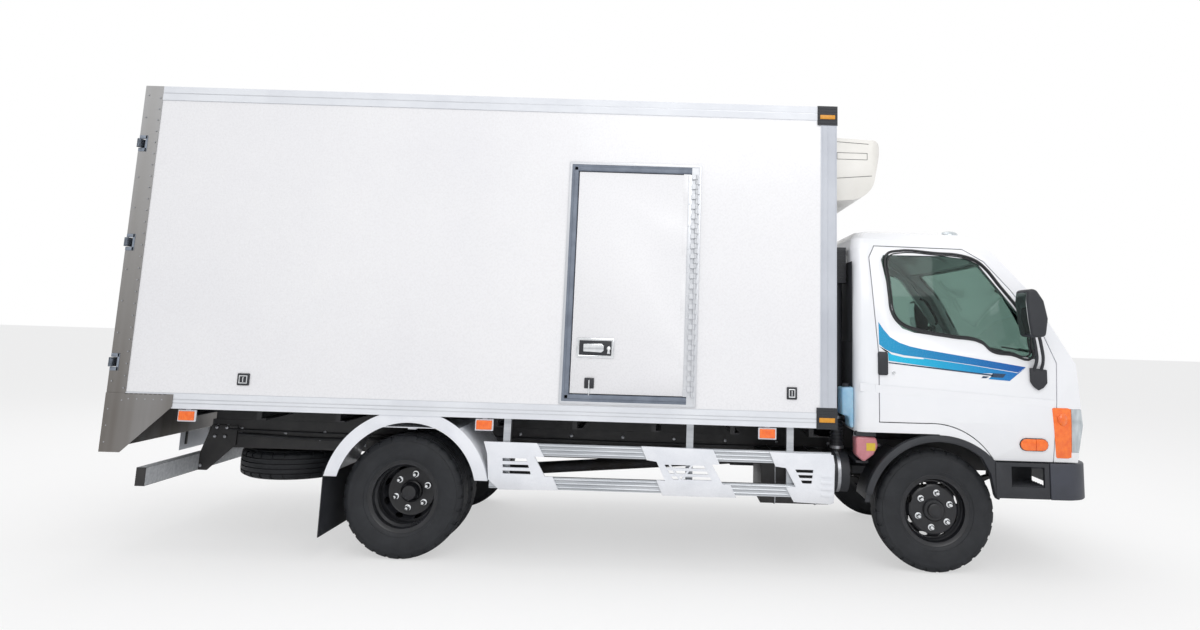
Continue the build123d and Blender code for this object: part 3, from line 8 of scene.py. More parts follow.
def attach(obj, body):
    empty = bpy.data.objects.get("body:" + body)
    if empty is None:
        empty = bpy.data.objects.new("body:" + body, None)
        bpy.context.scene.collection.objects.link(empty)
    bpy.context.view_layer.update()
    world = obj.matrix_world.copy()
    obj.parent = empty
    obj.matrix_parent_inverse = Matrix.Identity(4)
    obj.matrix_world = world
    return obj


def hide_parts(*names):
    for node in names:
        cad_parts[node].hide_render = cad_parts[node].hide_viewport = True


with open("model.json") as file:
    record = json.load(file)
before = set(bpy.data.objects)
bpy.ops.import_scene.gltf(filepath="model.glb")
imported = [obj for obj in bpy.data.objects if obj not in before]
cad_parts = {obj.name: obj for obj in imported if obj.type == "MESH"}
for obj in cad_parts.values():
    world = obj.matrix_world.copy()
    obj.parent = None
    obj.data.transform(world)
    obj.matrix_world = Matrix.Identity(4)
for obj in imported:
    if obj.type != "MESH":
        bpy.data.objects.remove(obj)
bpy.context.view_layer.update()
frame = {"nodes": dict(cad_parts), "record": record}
slotOf = {row["node"]: row["material_slot"] for row in frame["record"]["subparts"]}
bodyOf = {node: body for body, nodes in frame["record"]["behaviour"]["bodies"].items() for node in nodes}

# Places shared by many pieces, in metres: +X forward, +Y to the left, +Z up
rearAxleX = -1.270
frontAxleX = 2.115
axleZ = 0.380
sides = [(1, "left"), (-1, "right")]
weld = {"spun": 0.00002, "drawn": 0.00005}  # points closer than this become one


# Materials
def paintColour(hexCode):  # an sRGB hex colour as linear red, green, blue and alpha
    parts = [int(hexCode[i:i + 2], 16) / 255 for i in (1, 3, 5)]
    return tuple(c / 12.92 if c <= 0.04045 else ((c + 0.055) / 1.055) ** 2.4 for c in parts) + (1.0,)


def addNode(tree, kind, settings=None, links=None):  # one shader node with its settings and what feeds it
    node = tree.nodes.new(kind)
    for name, value in (settings or {}).items():
        if isinstance(name, int) or name in node.inputs:
            node.inputs[name].default_value = value
        else:
            setattr(node, name, value)
    for name, source in (links or {}).items():
        tree.links.new(source, node.inputs[name])
    return node


def makeFinish(name, colour, shade, patchMm, grainMm, depthMm, bump, roughness, **extra):
    # two colours in soft patches, a fine grain that sets the bump and the roughness (least, most), and as
    # extras: a stretch of the pattern, fade, and a low band of road dirt and painted shade, each as a
    # colour with where it starts and ends, and settings of the shader's own sockets
    material = bpy.data.materials.new(name)
    material.use_nodes = True
    tree = material.node_tree
    shader = tree.nodes["Principled BSDF"]
    for socket, value in extra.get("shader", {}).items():
        shader.inputs[socket].default_value = value
    place = addNode(tree, "ShaderNodeTexCoord")
    stretched = addNode(tree, "ShaderNodeMapping", {"Scale": extra.get("stretch", (1, 1, 1))},
                        {"Vector": place.outputs["Object"]})
    patches = addNode(tree, "ShaderNodeTexNoise", {"Scale": 1000 / patchMm, "Detail": 4.0, "Roughness": 0.6},
                      {"Vector": stretched.outputs["Vector"]})
    spread = addNode(tree, "ShaderNodeMapRange", {"From Min": 0.35, "From Max": 0.65},
                     {"Value": patches.outputs["Fac"]})
    tint = addNode(tree, "ShaderNodeMixRGB", {"Color1": paintColour(colour), "Color2": paintColour(shade)},
                   {"Fac": spread.outputs["Result"]})
    paint = tint.outputs["Color"]
    if "fade" in extra:  # printed film that runs from one blue to another along the truck
        code, start, end = extra["fade"]
        along = addNode(tree, "ShaderNodeSeparateXYZ", None, {"Vector": place.outputs["Object"]})
        share = addNode(tree, "ShaderNodeMapRange", {"From Min": start, "From Max": end},
                        {"Value": along.outputs["X"]})
        faded = addNode(tree, "ShaderNodeMixRGB", {"Color2": paintColour(code)},
                        {"Fac": share.outputs["Result"], "Color1": paint})
        paint = faded.outputs["Color"]
    if "dirt" in extra:  # road dirt low down on some pieces, painted shade on others
        code, start, end, strength = extra["dirt"]
        height = addNode(tree, "ShaderNodeSeparateXYZ", None, {"Vector": place.outputs["Object"]})
        low = addNode(tree, "ShaderNodeMapRange", {"From Min": start, "From Max": end, "To Min": strength,
                                                   "To Max": 0.0}, {"Value": height.outputs["Z"]})
        film = addNode(tree, "ShaderNodeMath", {"operation": "MULTIPLY"},
                       {0: low.outputs["Result"], 1: patches.outputs["Fac"]})
        soiledAndShaded = addNode(tree, "ShaderNodeMixRGB", {"Color2": paintColour(code)},
                         {"Fac": film.outputs["Value"], "Color1": paint})
        paint = soiledAndShaded.outputs["Color"]
    tree.links.new(paint, shader.inputs["Base Color"])
    grain = addNode(tree, "ShaderNodeTexNoise", {"Scale": 1000 / grainMm, "Detail": 3.0},
                    {"Vector": stretched.outputs["Vector"]})
    rough = addNode(tree, "ShaderNodeMapRange", {"From Min": 0.3, "From Max": 0.7, "To Min": roughness[0],
                                                 "To Max": roughness[1]}, {"Value": grain.outputs["Fac"]})
    tree.links.new(rough.outputs["Result"], shader.inputs["Roughness"])
    relief = addNode(tree, "ShaderNodeBump", {"Strength": bump, "Distance": depthMm / 1000},
                     {"Height": grain.outputs["Fac"]})
    tree.links.new(relief.outputs["Normal"], shader.inputs["Normal"])
    return material


# Columns: real material, its two colours, size of their patches in mm, size and depth of the grain in mm,
# strength of the grain, least and most roughness

# Baked acrylic enamel on sheet steel: a clean gloss white with the faintest orange peel, turning a
# warm grey from 1.05 m down to 0.70 m
cabEnamel = makeFinish("white baked enamel", "#f1f2f5", "#ebedf1", 900, 4, 0.05, 0.05, (0.16, 0.22),
                       dirt=("#b9b2a8", 0.70, 1.05, 0.25),
                       shader={"Coat Weight": 0.6, "Coat Roughness": 0.05})
# Gel-coated glass fibre panel: white with a cool cast, glossy and a little uneven
gelcoat = makeFinish("white gelcoat panel", "#ececee", "#e7e7ea", 1400, 12, 0.12, 0.06, (0.24, 0.32),
                     shader={"Coat Weight": 0.25, "Coat Roughness": 0.12})
powderCoat = makeFinish("white powder coat", "#e3e6eb", "#d9dce2", 300, 1.2, 0.05, 0.15, (0.32, 0.42))
# Stainless sheet, brushed up and down: neutral grey with long faint streaks, and painted shade that makes
# it darker and browner towards the road
stainless = makeFinish("brushed stainless sheet", "#b6b7b9", "#aaa9a8", 1100, 3, 0.03, 0.2, (0.30, 0.40),
                       stretch=(3, 3, 0.12), dirt=("#574f46", 0.85, 2.9, 1.3), shader={"Metallic": 0.8})
# EPDM rubber door gasket, slate blue, with a dull bloom
gasketRubber = makeFinish("slate rubber gasket", "#7b8492", "#6a7280", 120, 1.5, 0.08, 0.2, (0.5, 0.65))
guardAluminium = makeFinish("ribbed aluminium extrusion", "#c3c6ca", "#aaaeb3", 180, 1.5, 0.03, 0.2,
                            (0.28, 0.4), stretch=(0.3, 4, 4), shader={"Metallic": 0.85})
coverEnamel = makeFinish("white enamel cover", "#e9ebf0", "#dfe2e8", 200, 3, 0.05, 0.1, (0.24, 0.34),
                         dirt=("#a79f95", 0.44, 0.56, 0.3))
# Black frame paint over steel, dusty from the road
chassisPaint = makeFinish("black chassis paint", "#1b1c1f", "#28282a", 120, 3, 0.3, 0.3, (0.4, 0.6),
                          dirt=("#4d463f", 0.1, 0.9, 0.35))
# Moulded polypropylene with a fine leather grain
grainedPlastic = makeFinish("grained black polypropylene", "#24262b", "#2c2e33", 250, 2.2, 0.25, 0.35,
                            (0.5, 0.62))
# The same plastic in the cab, with no road film
cabinPlastic = makeFinish("dark cabin plastic", "#3a3c40", "#333539", 200, 2.0, 0.2, 0.3, (0.5, 0.65))
# Vulcanised tyre rubber: near black, a dull bloom and fine mould grain
tyreRubber = makeFinish("vulcanised tyre rubber", "#1d1f23", "#26282c", 90, 2.5, 0.15, 0.25, (0.5, 0.68),
                        shader={"Specular IOR Level": 0.4})
wheelPaint = makeFinish("satin black wheel paint", "#17181b", "#202126", 70, 2, 0.08, 0.12, (0.3, 0.42))
chrome = makeFinish("chromed steel", "#e4e6e8", "#d7dadd", 30, 3, 0.02, 0.1, (0.1, 0.2),
                    shader={"Metallic": 1.0})
zincPlate = makeFinish("zinc plated steel", "#b4b6ba", "#9d9fa4", 25, 2, 0.04, 0.2, (0.3, 0.45),
                       shader={"Metallic": 0.9})
# Cast iron and oily steel under the cab
castIron = makeFinish("dark cast iron", "#35353a", "#2a2724", 80, 4, 0.8, 0.5, (0.55, 0.75),
                      shader={"Metallic": 0.4})
seatCloth = makeFinish("woven seat cloth", "#3c3f47", "#2e3138", 60, 1.6, 0.6, 0.6, (0.85, 0.95),
                       shader={"Sheen Weight": 0.3})
orangeLens = makeFinish("orange acrylic lens", "#ff7a12", "#f26404", 30, 6, 0.5, 0.4, (0.12, 0.2),
                        shader={"Coat Weight": 0.8, "Coat Roughness": 0.04})
redLens = makeFinish("red acrylic lens", "#b3121a", "#8f0d15", 30, 6, 0.5, 0.4, (0.12, 0.2),
                     shader={"Coat Weight": 0.8, "Coat Roughness": 0.04})
clearLens = makeFinish("clear polycarbonate lens", "#f4f7f8", "#e9eef0", 60, 9, 0.3, 0.15, (0.03, 0.06),
                       shader={"Transmission Weight": 0.9, "IOR": 1.58})
# Laminated and toughened window glass, with a green-grey tint
tintedGlass = makeFinish("green tinted window glass", "#a7bcb5", "#a1b6af", 900, 900, 0.01, 0.0, (0.0, 0.005),
                         shader={"Transmission Weight": 1.0, "IOR": 1.3})
milkyPlastic = makeFinish("milky blow-moulded plastic", "#d4e6f0", "#c4dcea", 60, 5, 0.3, 0.3, (0.3, 0.4),
                          shader={"Transmission Weight": 0.25, "Subsurface Weight": 0.2})
# Cast vinyl film on the doors: two blues, each running darker towards the front, and a dark slate
upperFilm = makeFinish("blue cast vinyl film", "#0093c4", "#008fc0", 400, 3, 0.03, 0.1, (0.22, 0.3),
                       fade=("#0057a8", 1.80, 2.62))
lowerFilm = makeFinish("cyan cast vinyl film", "#13b7de", "#10b2da", 400, 3, 0.03, 0.1, (0.22, 0.3),
                       fade=("#1470bb", 1.95, 2.60))
darkFilm = makeFinish("slate cast vinyl film", "#2f4660", "#293f58", 400, 3, 0.03, 0.1, (0.22, 0.3))
windowRubber = makeFinish("black EPDM window rubber", "#15171a", "#1d1f23", 90, 2, 0.05, 0.15, (0.4, 0.55))
# Slate grey polypropylene of the bumper, paler than the arch mouldings
bumperPlastic = makeFinish("slate grey moulded bumper", "#3b3e48", "#34373f", 220, 2.2, 0.2, 0.3,
                           (0.42, 0.55))
# Galvanised hinge blades and lock gear: blue-grey and dull
hingeSteel = makeFinish("blue grey galvanised steel", "#929ba8", "#7f8894", 30, 3, 0.06, 0.25, (0.4, 0.55),
                        shader={"Metallic": 0.3})
trimAluminium = makeFinish("anodised aluminium trim", "#d3d5d9", "#c4c7cc", 200, 1.5, 0.02, 0.15,
                           (0.34, 0.44), stretch=(0.3, 4, 0.3), shader={"Metallic": 0.5})
reflector = makeFinish("silvered lamp reflector", "#dfe3e6", "#c9ced2", 20, 8, 0.4, 0.5, (0.08, 0.18),
                       shader={"Metallic": 0.95})
# Fluted glass over a silvered lamp
lampGlass = makeFinish("fluted headlamp glass", "#c9d0d4", "#a9b1b6", 24, 9, 0.5, 0.4, (0.06, 0.12),
                       stretch=(1, 1, 0.2), shader={"Metallic": 0.35, "Coat Weight": 1.0,
                                                    "Coat Roughness": 0.02})
unitGelcoat = makeFinish("cream gelcoat cover", "#e6e4df", "#dddbd5", 300, 6, 0.08, 0.08, (0.26, 0.36),
                         shader={"Coat Weight": 0.2, "Coat Roughness": 0.1})
postGrey = makeFinish("grey enamel post", "#c3c7cf", "#b6bac3", 500, 2, 0.05, 0.1, (0.35, 0.45))
mirrorGlass = makeFinish("silvered mirror glass", "#eef1f3", "#e9edef", 300, 200, 0.01, 0.01, (0.02, 0.03),
                         shader={"Metallic": 1.0})
# Blue washer fluid and pink coolant seen through their bottles
washerBlue = makeFinish("blue washer fluid bottle", "#9cc4dc", "#86b4d2", 80, 5, 0.3, 0.3, (0.28, 0.38),
                        shader={"Subsurface Weight": 0.15})
coolantPink = makeFinish("pink coolant bottle", "#c9858c", "#b8747c", 60, 5, 0.3, 0.3, (0.28, 0.38),
                         shader={"Subsurface Weight": 0.15})
yellowLabel = makeFinish("yellow paper label", "#d8b93c", "#ccad34", 30, 1.5, 0.05, 0.2, (0.5, 0.6))
amberStrip = makeFinish("amber reflective strip", "#dd9a2c", "#cf8b22", 20, 1.5, 0.05, 0.2, (0.35, 0.45))
redPlastic = makeFinish("red moulded plastic", "#c0202a", "#ab1a24", 20, 2, 0.1, 0.2, (0.35, 0.45))
# Hot-dip galvanised bar of the underrun guard: light grey with a faint spangle
galvanised = makeFinish("galvanised underrun bar", "#cfd1d4", "#b9bcc0", 22, 4, 0.06, 0.2, (0.4, 0.55),
                        shader={"Metallic": 0.2})
floorCoat = makeFinish("grey non-slip floor", "#8d9196", "#7d8186", 300, 3, 0.8, 0.6, (0.55, 0.7))

finishOfSlot = {"frame_paint": chassisPaint, "box_skin": gelcoat, "floor_deck": floorCoat,
                "white_trim": powderCoat, "cap_plastic": grainedPlastic, "stainless": stainless,
                "lamp_orange": orangeLens, "door_gasket": gasketRubber, "engine_metal": castIron,
                "black_plastic": grainedPlastic, "tank_metal": chassisPaint,
                "guard_aluminium": guardAluminium, "guard_cover": coverEnamel, "cab_paint": cabEnamel,
                "cab_glazing": tintedGlass, "lamp_clear": clearLens, "seat_cloth": seatCloth,
                "bottle_plastic": milkyPlastic, "rim_paint": wheelPaint, "tyre": tyreRubber}
# The slot that a finish stands for, unless the piece names another
finishOfNode = {"rear_fenders": coverEnamel, "dashboard": cabinPlastic, "steering_wheel": cabinPlastic}
for node, cadObject in frame["nodes"].items():
    finish = finishOfNode.get(node, finishOfSlot[slotOf[node]])
    if not cadObject.material_slots:
        cadObject.data.materials.append(finish)
    for materialSlot in cadObject.material_slots:
        materialSlot.material = finish
print("materials are on the packed nodes")


# Modelling helpers
def startPiece():  # nothing selected, object mode
    if bpy.context.object and bpy.context.object.mode != "OBJECT":
        bpy.ops.object.mode_set(mode="OBJECT")
    bpy.ops.object.select_all(action="DESELECT")


def pick(piece):
    startPiece()
    piece.select_set(True)
    bpy.context.view_layer.objects.active = piece


def editAll():  # edit mode, with everything selected
    bpy.ops.object.mode_set(mode="EDIT")
    bpy.ops.mesh.select_all(action="SELECT")


def closeForm():  # faces turned outwards, back in object mode
    bpy.ops.mesh.select_all(action="SELECT")
    bpy.ops.mesh.normals_make_consistent(inside=False)
    bpy.ops.object.mode_set(mode="OBJECT")


def applyAll(piece):  # every modifier, then the place, the turn and the scale
    pick(piece)
    for modifier in list(piece.modifiers):
        bpy.ops.object.modifier_apply(modifier=modifier.name)
    bpy.ops.object.transform_apply(location=True, rotation=True, scale=True)
    return piece


def softenEdges(piece, width, segments=2, angle=30):  # a bevel on the edges sharper than the angle
    if width:
        bevel = piece.modifiers.new("soft edges", "BEVEL")
        bevel.width = width
        bevel.segments = segments
        bevel.limit_method = "ANGLE"
        bevel.angle_limit = math.radians(angle)
    return applyAll(piece)


def addBlock(low, high, edge=0.003, segments=2):  # a block between two corners, with its edges rounded
    startPiece()
    low, high = Vector(low), Vector(high)
    bpy.ops.mesh.primitive_cube_add(size=1, location=(low + high) / 2)
    piece = bpy.context.object
    piece.scale = high - low
    applyAll(piece)
    return softenEdges(piece, edge, segments)


def addRod(start, end, radius, vertices=20):  # a round bar between two points
    startPiece()
    start, end = Vector(start), Vector(end)
    run = end - start
    bpy.ops.mesh.primitive_cylinder_add(vertices=vertices, radius=radius, depth=run.length,
                                        location=(start + end) / 2,
                                        rotation=run.to_track_quat("Z", "Y").to_euler())
    return applyAll(bpy.context.object)


def drawPath(path, closed):  # edges from point to point, left in edit mode with everything selected
    startPiece()
    bpy.ops.mesh.primitive_plane_add(size=0.001, location=path[0])
    bpy.ops.object.mode_set(mode="EDIT")
    bpy.ops.mesh.select_mode(type="VERT")
    bpy.ops.mesh.select_all(action="SELECT")
    bpy.ops.mesh.merge(type="CENTER")
    for here, there in zip(path, path[1:] + (path[:1] if closed else [])):
        bpy.ops.mesh.extrude_region_move(TRANSFORM_OT_translate={"value": there - here})
    bpy.ops.mesh.select_all(action="SELECT")


def spinProfile(points, centre, axis="Y", steps=64, closed=False):  # points: along the axis, distance from it
    centre = Vector(centre)
    along = {"X": Vector((1, 0, 0)), "Y": Vector((0, 1, 0)), "Z": Vector((0, 0, 1))}[axis]
    out = Vector((1, 0, 0)) if axis == "Z" else Vector((0, 0, 1))
    drawPath([centre + along * a + out * r for a, r in points], closed)
    bpy.ops.mesh.spin(steps=steps, angle=2 * math.pi, center=centre, axis=along)
    bpy.ops.mesh.select_all(action="SELECT")
    bpy.ops.mesh.remove_doubles(threshold=weld["spun"])
    closeForm()
    return applyAll(bpy.context.object)


def drawLine(points, closed=False, fill=False):
    drawPath([Vector(point) for point in points], closed)
    bpy.ops.mesh.remove_doubles(threshold=weld["drawn"])
    if fill:
        bpy.ops.mesh.select_all(action="SELECT")
        bpy.ops.mesh.edge_face_add()
    bpy.ops.object.mode_set(mode="OBJECT")
    return applyAll(bpy.context.object)


def thicken(piece, push):  # a sheet pushed out by a vector
    editAll()
    bpy.ops.mesh.extrude_region_move(TRANSFORM_OT_translate={"value": push})
    closeForm()
    return piece


def atY(y, points):  # an outline of (x, z) places, put at one distance across the truck
    return [(x, y, z) for x, z in points]


def addPlate(points, push, edge=0.002, segments=2):  # a filled outline pushed out by a vector
    return softenEdges(thicken(drawLine(points, closed=True, fill=True), push), edge, segments)


def addTube(points, radius, closed=False, smooth=True):  # a bent bar or rubber along a line
    drawLine(points, closed)
    bpy.ops.object.convert(target="CURVE")
    line = bpy.context.object
    if smooth:
        bpy.ops.object.mode_set(mode="EDIT")
        bpy.ops.curve.select_all(action="SELECT")
        bpy.ops.curve.spline_type_set(type="BEZIER")
        bpy.ops.curve.handle_type_set(type="AUTOMATIC")
        bpy.ops.object.mode_set(mode="OBJECT")
        line.data.resolution_u = 5
    line.data.bevel_depth = radius
    line.data.bevel_resolution = 2
    line.data.use_fill_caps = True
    bpy.ops.object.convert(target="MESH")
    return bpy.context.object


def addRing(corners, y, width, depth, edge=0.002):  # a flat frame on the box's right side: x0, z0, x1, z1
    x0, z0, x1, z1 = corners
    piece = drawLine([(x0, y, z0), (x1, y, z0), (x1, y, z1), (x0, y, z1)], closed=True, fill=True)
    bpy.ops.object.mode_set(mode="EDIT")
    bpy.ops.mesh.select_mode(type="FACE")
    bpy.ops.mesh.select_all(action="SELECT")
    bpy.ops.mesh.inset(thickness=width)
    bpy.ops.mesh.delete(type="FACE")
    bpy.ops.mesh.select_all(action="SELECT")
    bpy.ops.mesh.extrude_region_move(TRANSFORM_OT_translate={"value": (0, depth, 0)})
    closeForm()
    return softenEdges(piece, edge)


def copyOf(piece, matrix=None):  # a copy with a mesh of its own, put in place
    twin = bpy.data.objects.new(piece.name, piece.data.copy())
    bpy.context.scene.collection.objects.link(twin)
    if matrix:
        twin.data.transform(matrix)
        if matrix.determinant() < 0:
            twin.data.flip_normals()
    return twin


def mirrored(piece):  # across the truck's centre plane
    return copyOf(piece, Matrix.Scale(-1, 4, Vector((0, 1, 0))))


def joined(pieces):
    startPiece()
    for piece in pieces:
        piece.select_set(True)
    bpy.context.view_layer.objects.active = pieces[0]
    if len(pieces) > 1:
        bpy.ops.object.join()
    return bpy.context.object


def addCaps(spots, radius, height, axis="Y", steps=10):  # round heads of rivets and bolts
    first = spinProfile([(0.0, radius), (height * 0.6, radius * 0.8), (height, 0.0001)], (0, 0, 0), axis,
                        steps)
    caps = [copyOf(first, Matrix.Translation(spot)) for spot in spots]
    bpy.data.objects.remove(first)
    return joined(caps)


def cutBy(piece, place, normal, keepInner=True):  # a piece cut through by a plane and closed again
    pick(piece)
    editAll()
    bpy.ops.mesh.remove_doubles(threshold=weld["spun"])
    bpy.ops.mesh.select_all(action="SELECT")
    bpy.ops.mesh.bisect(plane_co=place, plane_no=normal, use_fill=True, clear_outer=keepInner,
                        clear_inner=not keepInner)
    bpy.ops.object.mode_set(mode="OBJECT")
    return piece


def mergedCopy(node):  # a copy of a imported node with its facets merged
    piece = copyOf(frame["nodes"][node])
    pick(piece)
    editAll()
    bpy.ops.mesh.remove_doubles(threshold=weld["spun"])
    bpy.ops.mesh.dissolve_limited(angle_limit=math.radians(0.6))
    bpy.ops.object.mode_set(mode="OBJECT")
    return piece


def finishPiece(piece, name, finish, smooth=35, replaces=(), body="truck"):
    # a piece, or a list of forms to join into one, with its name, finish, smoothing angle, body and
    # replaced nodes
    piece = applyAll(joined(piece) if isinstance(piece, list) else piece)
    piece.name = name
    piece.data.name = name
    piece.data.materials.clear()
    piece.data.materials.append(finish)
    bpy.ops.object.shade_smooth_by_angle(angle=math.radians(smooth))
    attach(piece, body)
    if replaces:
        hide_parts(*replaces)
    return piece


def bothSides(piece, name, finish, smooth=35, replaces=(), body="truck"):
    # a piece of the right side with its twin on the left: one piece on the truck, two on a pair of bodies
    piece = joined(piece) if isinstance(piece, list) else piece
    twin = mirrored(piece)
    if body.startswith("right"):
        finishPiece(twin, name + "Left", finish, smooth, [node.replace("right", "left") for node in replaces],
                    body.replace("right", "left"))
        finishPiece(piece, name + "Right", finish, smooth, replaces, body)
    else:
        finishPiece([piece, twin], name, finish, smooth, replaces, body)


def dressedCopy(node, edge=0.003, segments=2, angle=25, smooth=35, finish=None):
    # a merged copy of a node, with the soft edges that pressed and moulded parts have
    piece = softenEdges(mergedCopy(node), edge, segments, angle)
    finishPiece(piece, node + "_skin", finish or frame["nodes"][node].material_slots[0].material, smooth,
                (node,), bodyOf[node])


# Wheels: tyres with a moulded tread, steel rims with hand holes, hubs and chromed nuts
tyre = {"steps": 112}
halfTyre = [(0.070, 0.204), (0.079, 0.222), (0.086, 0.232), (0.089, 0.245), (0.092, 0.2455), (0.094, 0.254),
            (0.0965, 0.270), (0.0995, 0.292), (0.0992, 0.312), (0.0965, 0.331), (0.0968, 0.336),
            (0.0955, 0.341), (0.0925, 0.342), (0.0895, 0.352), (0.085, 0.362), (0.079, 0.3705),
            (0.073, 0.3755), (0.0545, 0.378), (0.053, 0.369), (0.047, 0.369), (0.0455, 0.3788),
            (0.0215, 0.3796), (0.020, 0.371), (0.014, 0.371), (0.0125, 0.38)]
tyreSection = halfTyre + [(-a, r) for a, r in reversed(halfTyre)]
tyreMaster = spinProfile(tyreSection, (0, 0, 0), "Y", tyre["steps"], closed=True)
bpy.ops.object.mode_set(mode="EDIT")
bpy.ops.mesh.select_mode(type="FACE")
bpy.ops.mesh.select_all(action="DESELECT")
bpy.ops.object.mode_set(mode="OBJECT")
for face in tyreMaster.data.polygons:  # shoulder blocks: every other face of the shoulder bands
    middle = face.center
    radius = math.hypot(middle.x, middle.z)
    turn = math.atan2(middle.z, middle.x) / (2 * math.pi) * tyre["steps"]
    shoulder = 0.0555 < abs(middle.y) < 0.088 and radius > 0.355
    face.select = shoulder and int(round(turn - 0.5)) % 4 == 0
bpy.ops.object.mode_set(mode="EDIT")
bpy.ops.mesh.extrude_region_shrink_fatten(TRANSFORM_OT_shrink_fatten={"value": -0.006})
bpy.ops.object.mode_set(mode="OBJECT")
print("tyre modelled", len(tyreMaster.data.polygons))

# columns: name, middle of the tyre (x, y), node; the body is the node's own
tyreRows = [("tyreFrontLeft", frontAxleX, 0.780, "front_left_tyre"),
            ("tyreFrontRight", frontAxleX, -0.780, "front_right_tyre")]
for name, x, y, node in tyreRows:
    twin = copyOf(tyreMaster, Matrix.Translation((x, y, axleZ)))
    finishPiece(twin, name, tyreRubber, 40, replaces=(node,), body=bodyOf[node])
for side, sideName in sides:
    node = f"rear_{sideName}_tyres"
    pair = [copyOf(tyreMaster, Matrix.Translation((rearAxleX, side * y, axleZ))) for y in (0.845, 0.610)]
    finishPiece(pair, f"tyresRear{sideName.title()}", tyreRubber, 40, replaces=(node,), body=bodyOf[node])

# Rims, drawn for the left: distances outwards along the axle from the rim's middle, and from the axle
rim = {"steps": 96, "hubSteps": 48, "handHoles": 8, "nutCircle": 0.108, "nuts": 6, "nutRadius": 0.0165,
       "nutHeight": 0.026, "frontY": 0.780, "outerY": 0.845, "innerY": 0.610}
barrel = [(0.080, 0.2195), (0.079, 0.2245), (0.0725, 0.2245), (0.071, 0.218), (0.070, 0.2025), (0.030, 0.200),
          (0.020, 0.186), (-0.020, 0.186), (-0.035, 0.2005), (-0.0705, 0.2025), (-0.072, 0.2245),
          (-0.079, 0.2245), (-0.080, 0.2195), (-0.0745, 0.211), (-0.073, 0.196), (-0.038, 0.194),
          (-0.022, 0.180), (0.020, 0.180), (0.033, 0.193), (0.0725, 0.196), (0.0745, 0.211)]
frontDisc = [(0.052, 0.050), (0.052, 0.146), (0.045, 0.158), (0.026, 0.166), (0.018, 0.172), (0.018, 0.1795),
             (0.012, 0.1795), (0.012, 0.170), (0.020, 0.162), (0.038, 0.153), (0.044, 0.144), (0.044, 0.050)]
rearDisc = [(-0.108, 0.050), (-0.108, 0.140), (-0.104, 0.150), (-0.066, 0.163), (-0.058, 0.170),
            (-0.058, 0.196), (-0.066, 0.196), (-0.066, 0.172), (-0.074, 0.168), (-0.112, 0.156),
            (-0.117, 0.142), (-0.117, 0.050)]
hubCap = [(0.050, 0.070), (0.066, 0.068), (0.072, 0.062), (0.072, 0.046), (0.086, 0.044), (0.0895, 0.036),
          (0.0905, 0.012), (0.0905, 0.0001)]
rearCap = [(0.0, 0.070), (0.020, 0.068), (0.024, 0.060), (0.034, 0.058), (0.060, 0.052), (0.070, 0.044),
           (0.073, 0.030), (0.074, 0.0001)]
rearHub = [(0.0, 0.062), (-0.09, 0.062), (-0.09, 0.090), (-0.14, 0.090), (-0.14, 0.0001)]


def turned(points, x, y, steps=rim["steps"], closed=True):  # a part of a wheel, turned round its axle
    return spinProfile(points, (x, y, axleZ), "Y", steps, closed)


def cutHandHoles(disc, centre, radius, size, depth):
    cutters = []
    for index in range(rim["handHoles"]):
        turn = 2 * math.pi * (index + 0.5) / rim["handHoles"]
        startPiece()
        bpy.ops.mesh.primitive_cylinder_add(vertices=20, radius=size, depth=depth,
                                            rotation=(math.pi / 2, 0, 0))
        cutter = bpy.context.object
        bpy.ops.object.transform_apply(rotation=True)
        cutter.data.transform(Matrix.Diagonal((1.75, 1, 0.72, 1)))
        cutter.data.transform(Matrix.Rotation(math.pi / 2 - turn, 4, "Y"))
        spot = Vector(centre) + Vector((radius * math.cos(turn), 0, radius * math.sin(turn)))
        cutter.data.transform(Matrix.Translation(spot))
        cutters.append(cutter)
    tool = joined(cutters)
    cut = disc.modifiers.new("hand holes", "BOOLEAN")
    cut.operation = "DIFFERENCE"
    cut.object = tool
    applyAll(disc)
    bpy.data.objects.remove(tool)
    return disc


def makeNuts(x, y, turn=0.35):
    nuts = []
    for index in range(rim["nuts"]):
        angle = turn + 2 * math.pi * index / rim["nuts"]
        spot = Vector((x + rim["nutCircle"] * math.cos(angle), y, axleZ + rim["nutCircle"] * math.sin(angle)))
        startPiece()
        bpy.ops.mesh.primitive_cylinder_add(vertices=6, radius=rim["nutRadius"], depth=rim["nutHeight"],
                                            location=spot, rotation=(math.pi / 2, angle, 0))
        nut = softenEdges(applyAll(bpy.context.object), 0.003, 2)
        cap = spinProfile([(0.0, 0.0142), (0.008, 0.0135), (0.013, 0.009), (0.0145, 0.0001)],
                          spot + Vector((0, rim["nutHeight"] / 2 - 0.001, 0)), "Y", 16)
        ring = spinProfile([(0.0, 0.021), (0.003, 0.0205), (0.004, 0.015), (0.0, 0.015)],
                           spot - Vector((0, rim["nutHeight"] / 2 - 0.001, 0)), "Y", 18, closed=True)
        nuts += [nut, cap, ring]
    return joined(nuts)


frontRim = joined([turned(barrel, frontAxleX, rim["frontY"]),
                   cutHandHoles(turned(frontDisc, frontAxleX, rim["frontY"]),
                                (frontAxleX, rim["frontY"] + 0.02, axleZ), 0.161, 0.016, 0.09),
                   turned(hubCap, frontAxleX, rim["frontY"], rim["hubSteps"], False)])
frontNuts = makeNuts(frontAxleX, rim["frontY"] + 0.052 + rim["nutHeight"] / 2)
rearRim = joined([turned(barrel, rearAxleX, rim["outerY"]), turned(barrel, rearAxleX, rim["innerY"]),
                  cutHandHoles(turned(rearDisc, rearAxleX, rim["outerY"]),
                               (rearAxleX, rim["outerY"] - 0.08, axleZ), 0.160, 0.015, 0.09),
                  turned([(-a, r) for a, r in reversed(rearDisc)], rearAxleX, rim["innerY"]),
                  turned(rearCap, rearAxleX, rim["outerY"] - 0.108, rim["hubSteps"], False),
                  turned(rearHub, rearAxleX, rim["outerY"] - 0.118, rim["hubSteps"], False)])
rearNuts = makeNuts(rearAxleX, rim["outerY"] - 0.108 + rim["nutHeight"] / 2)
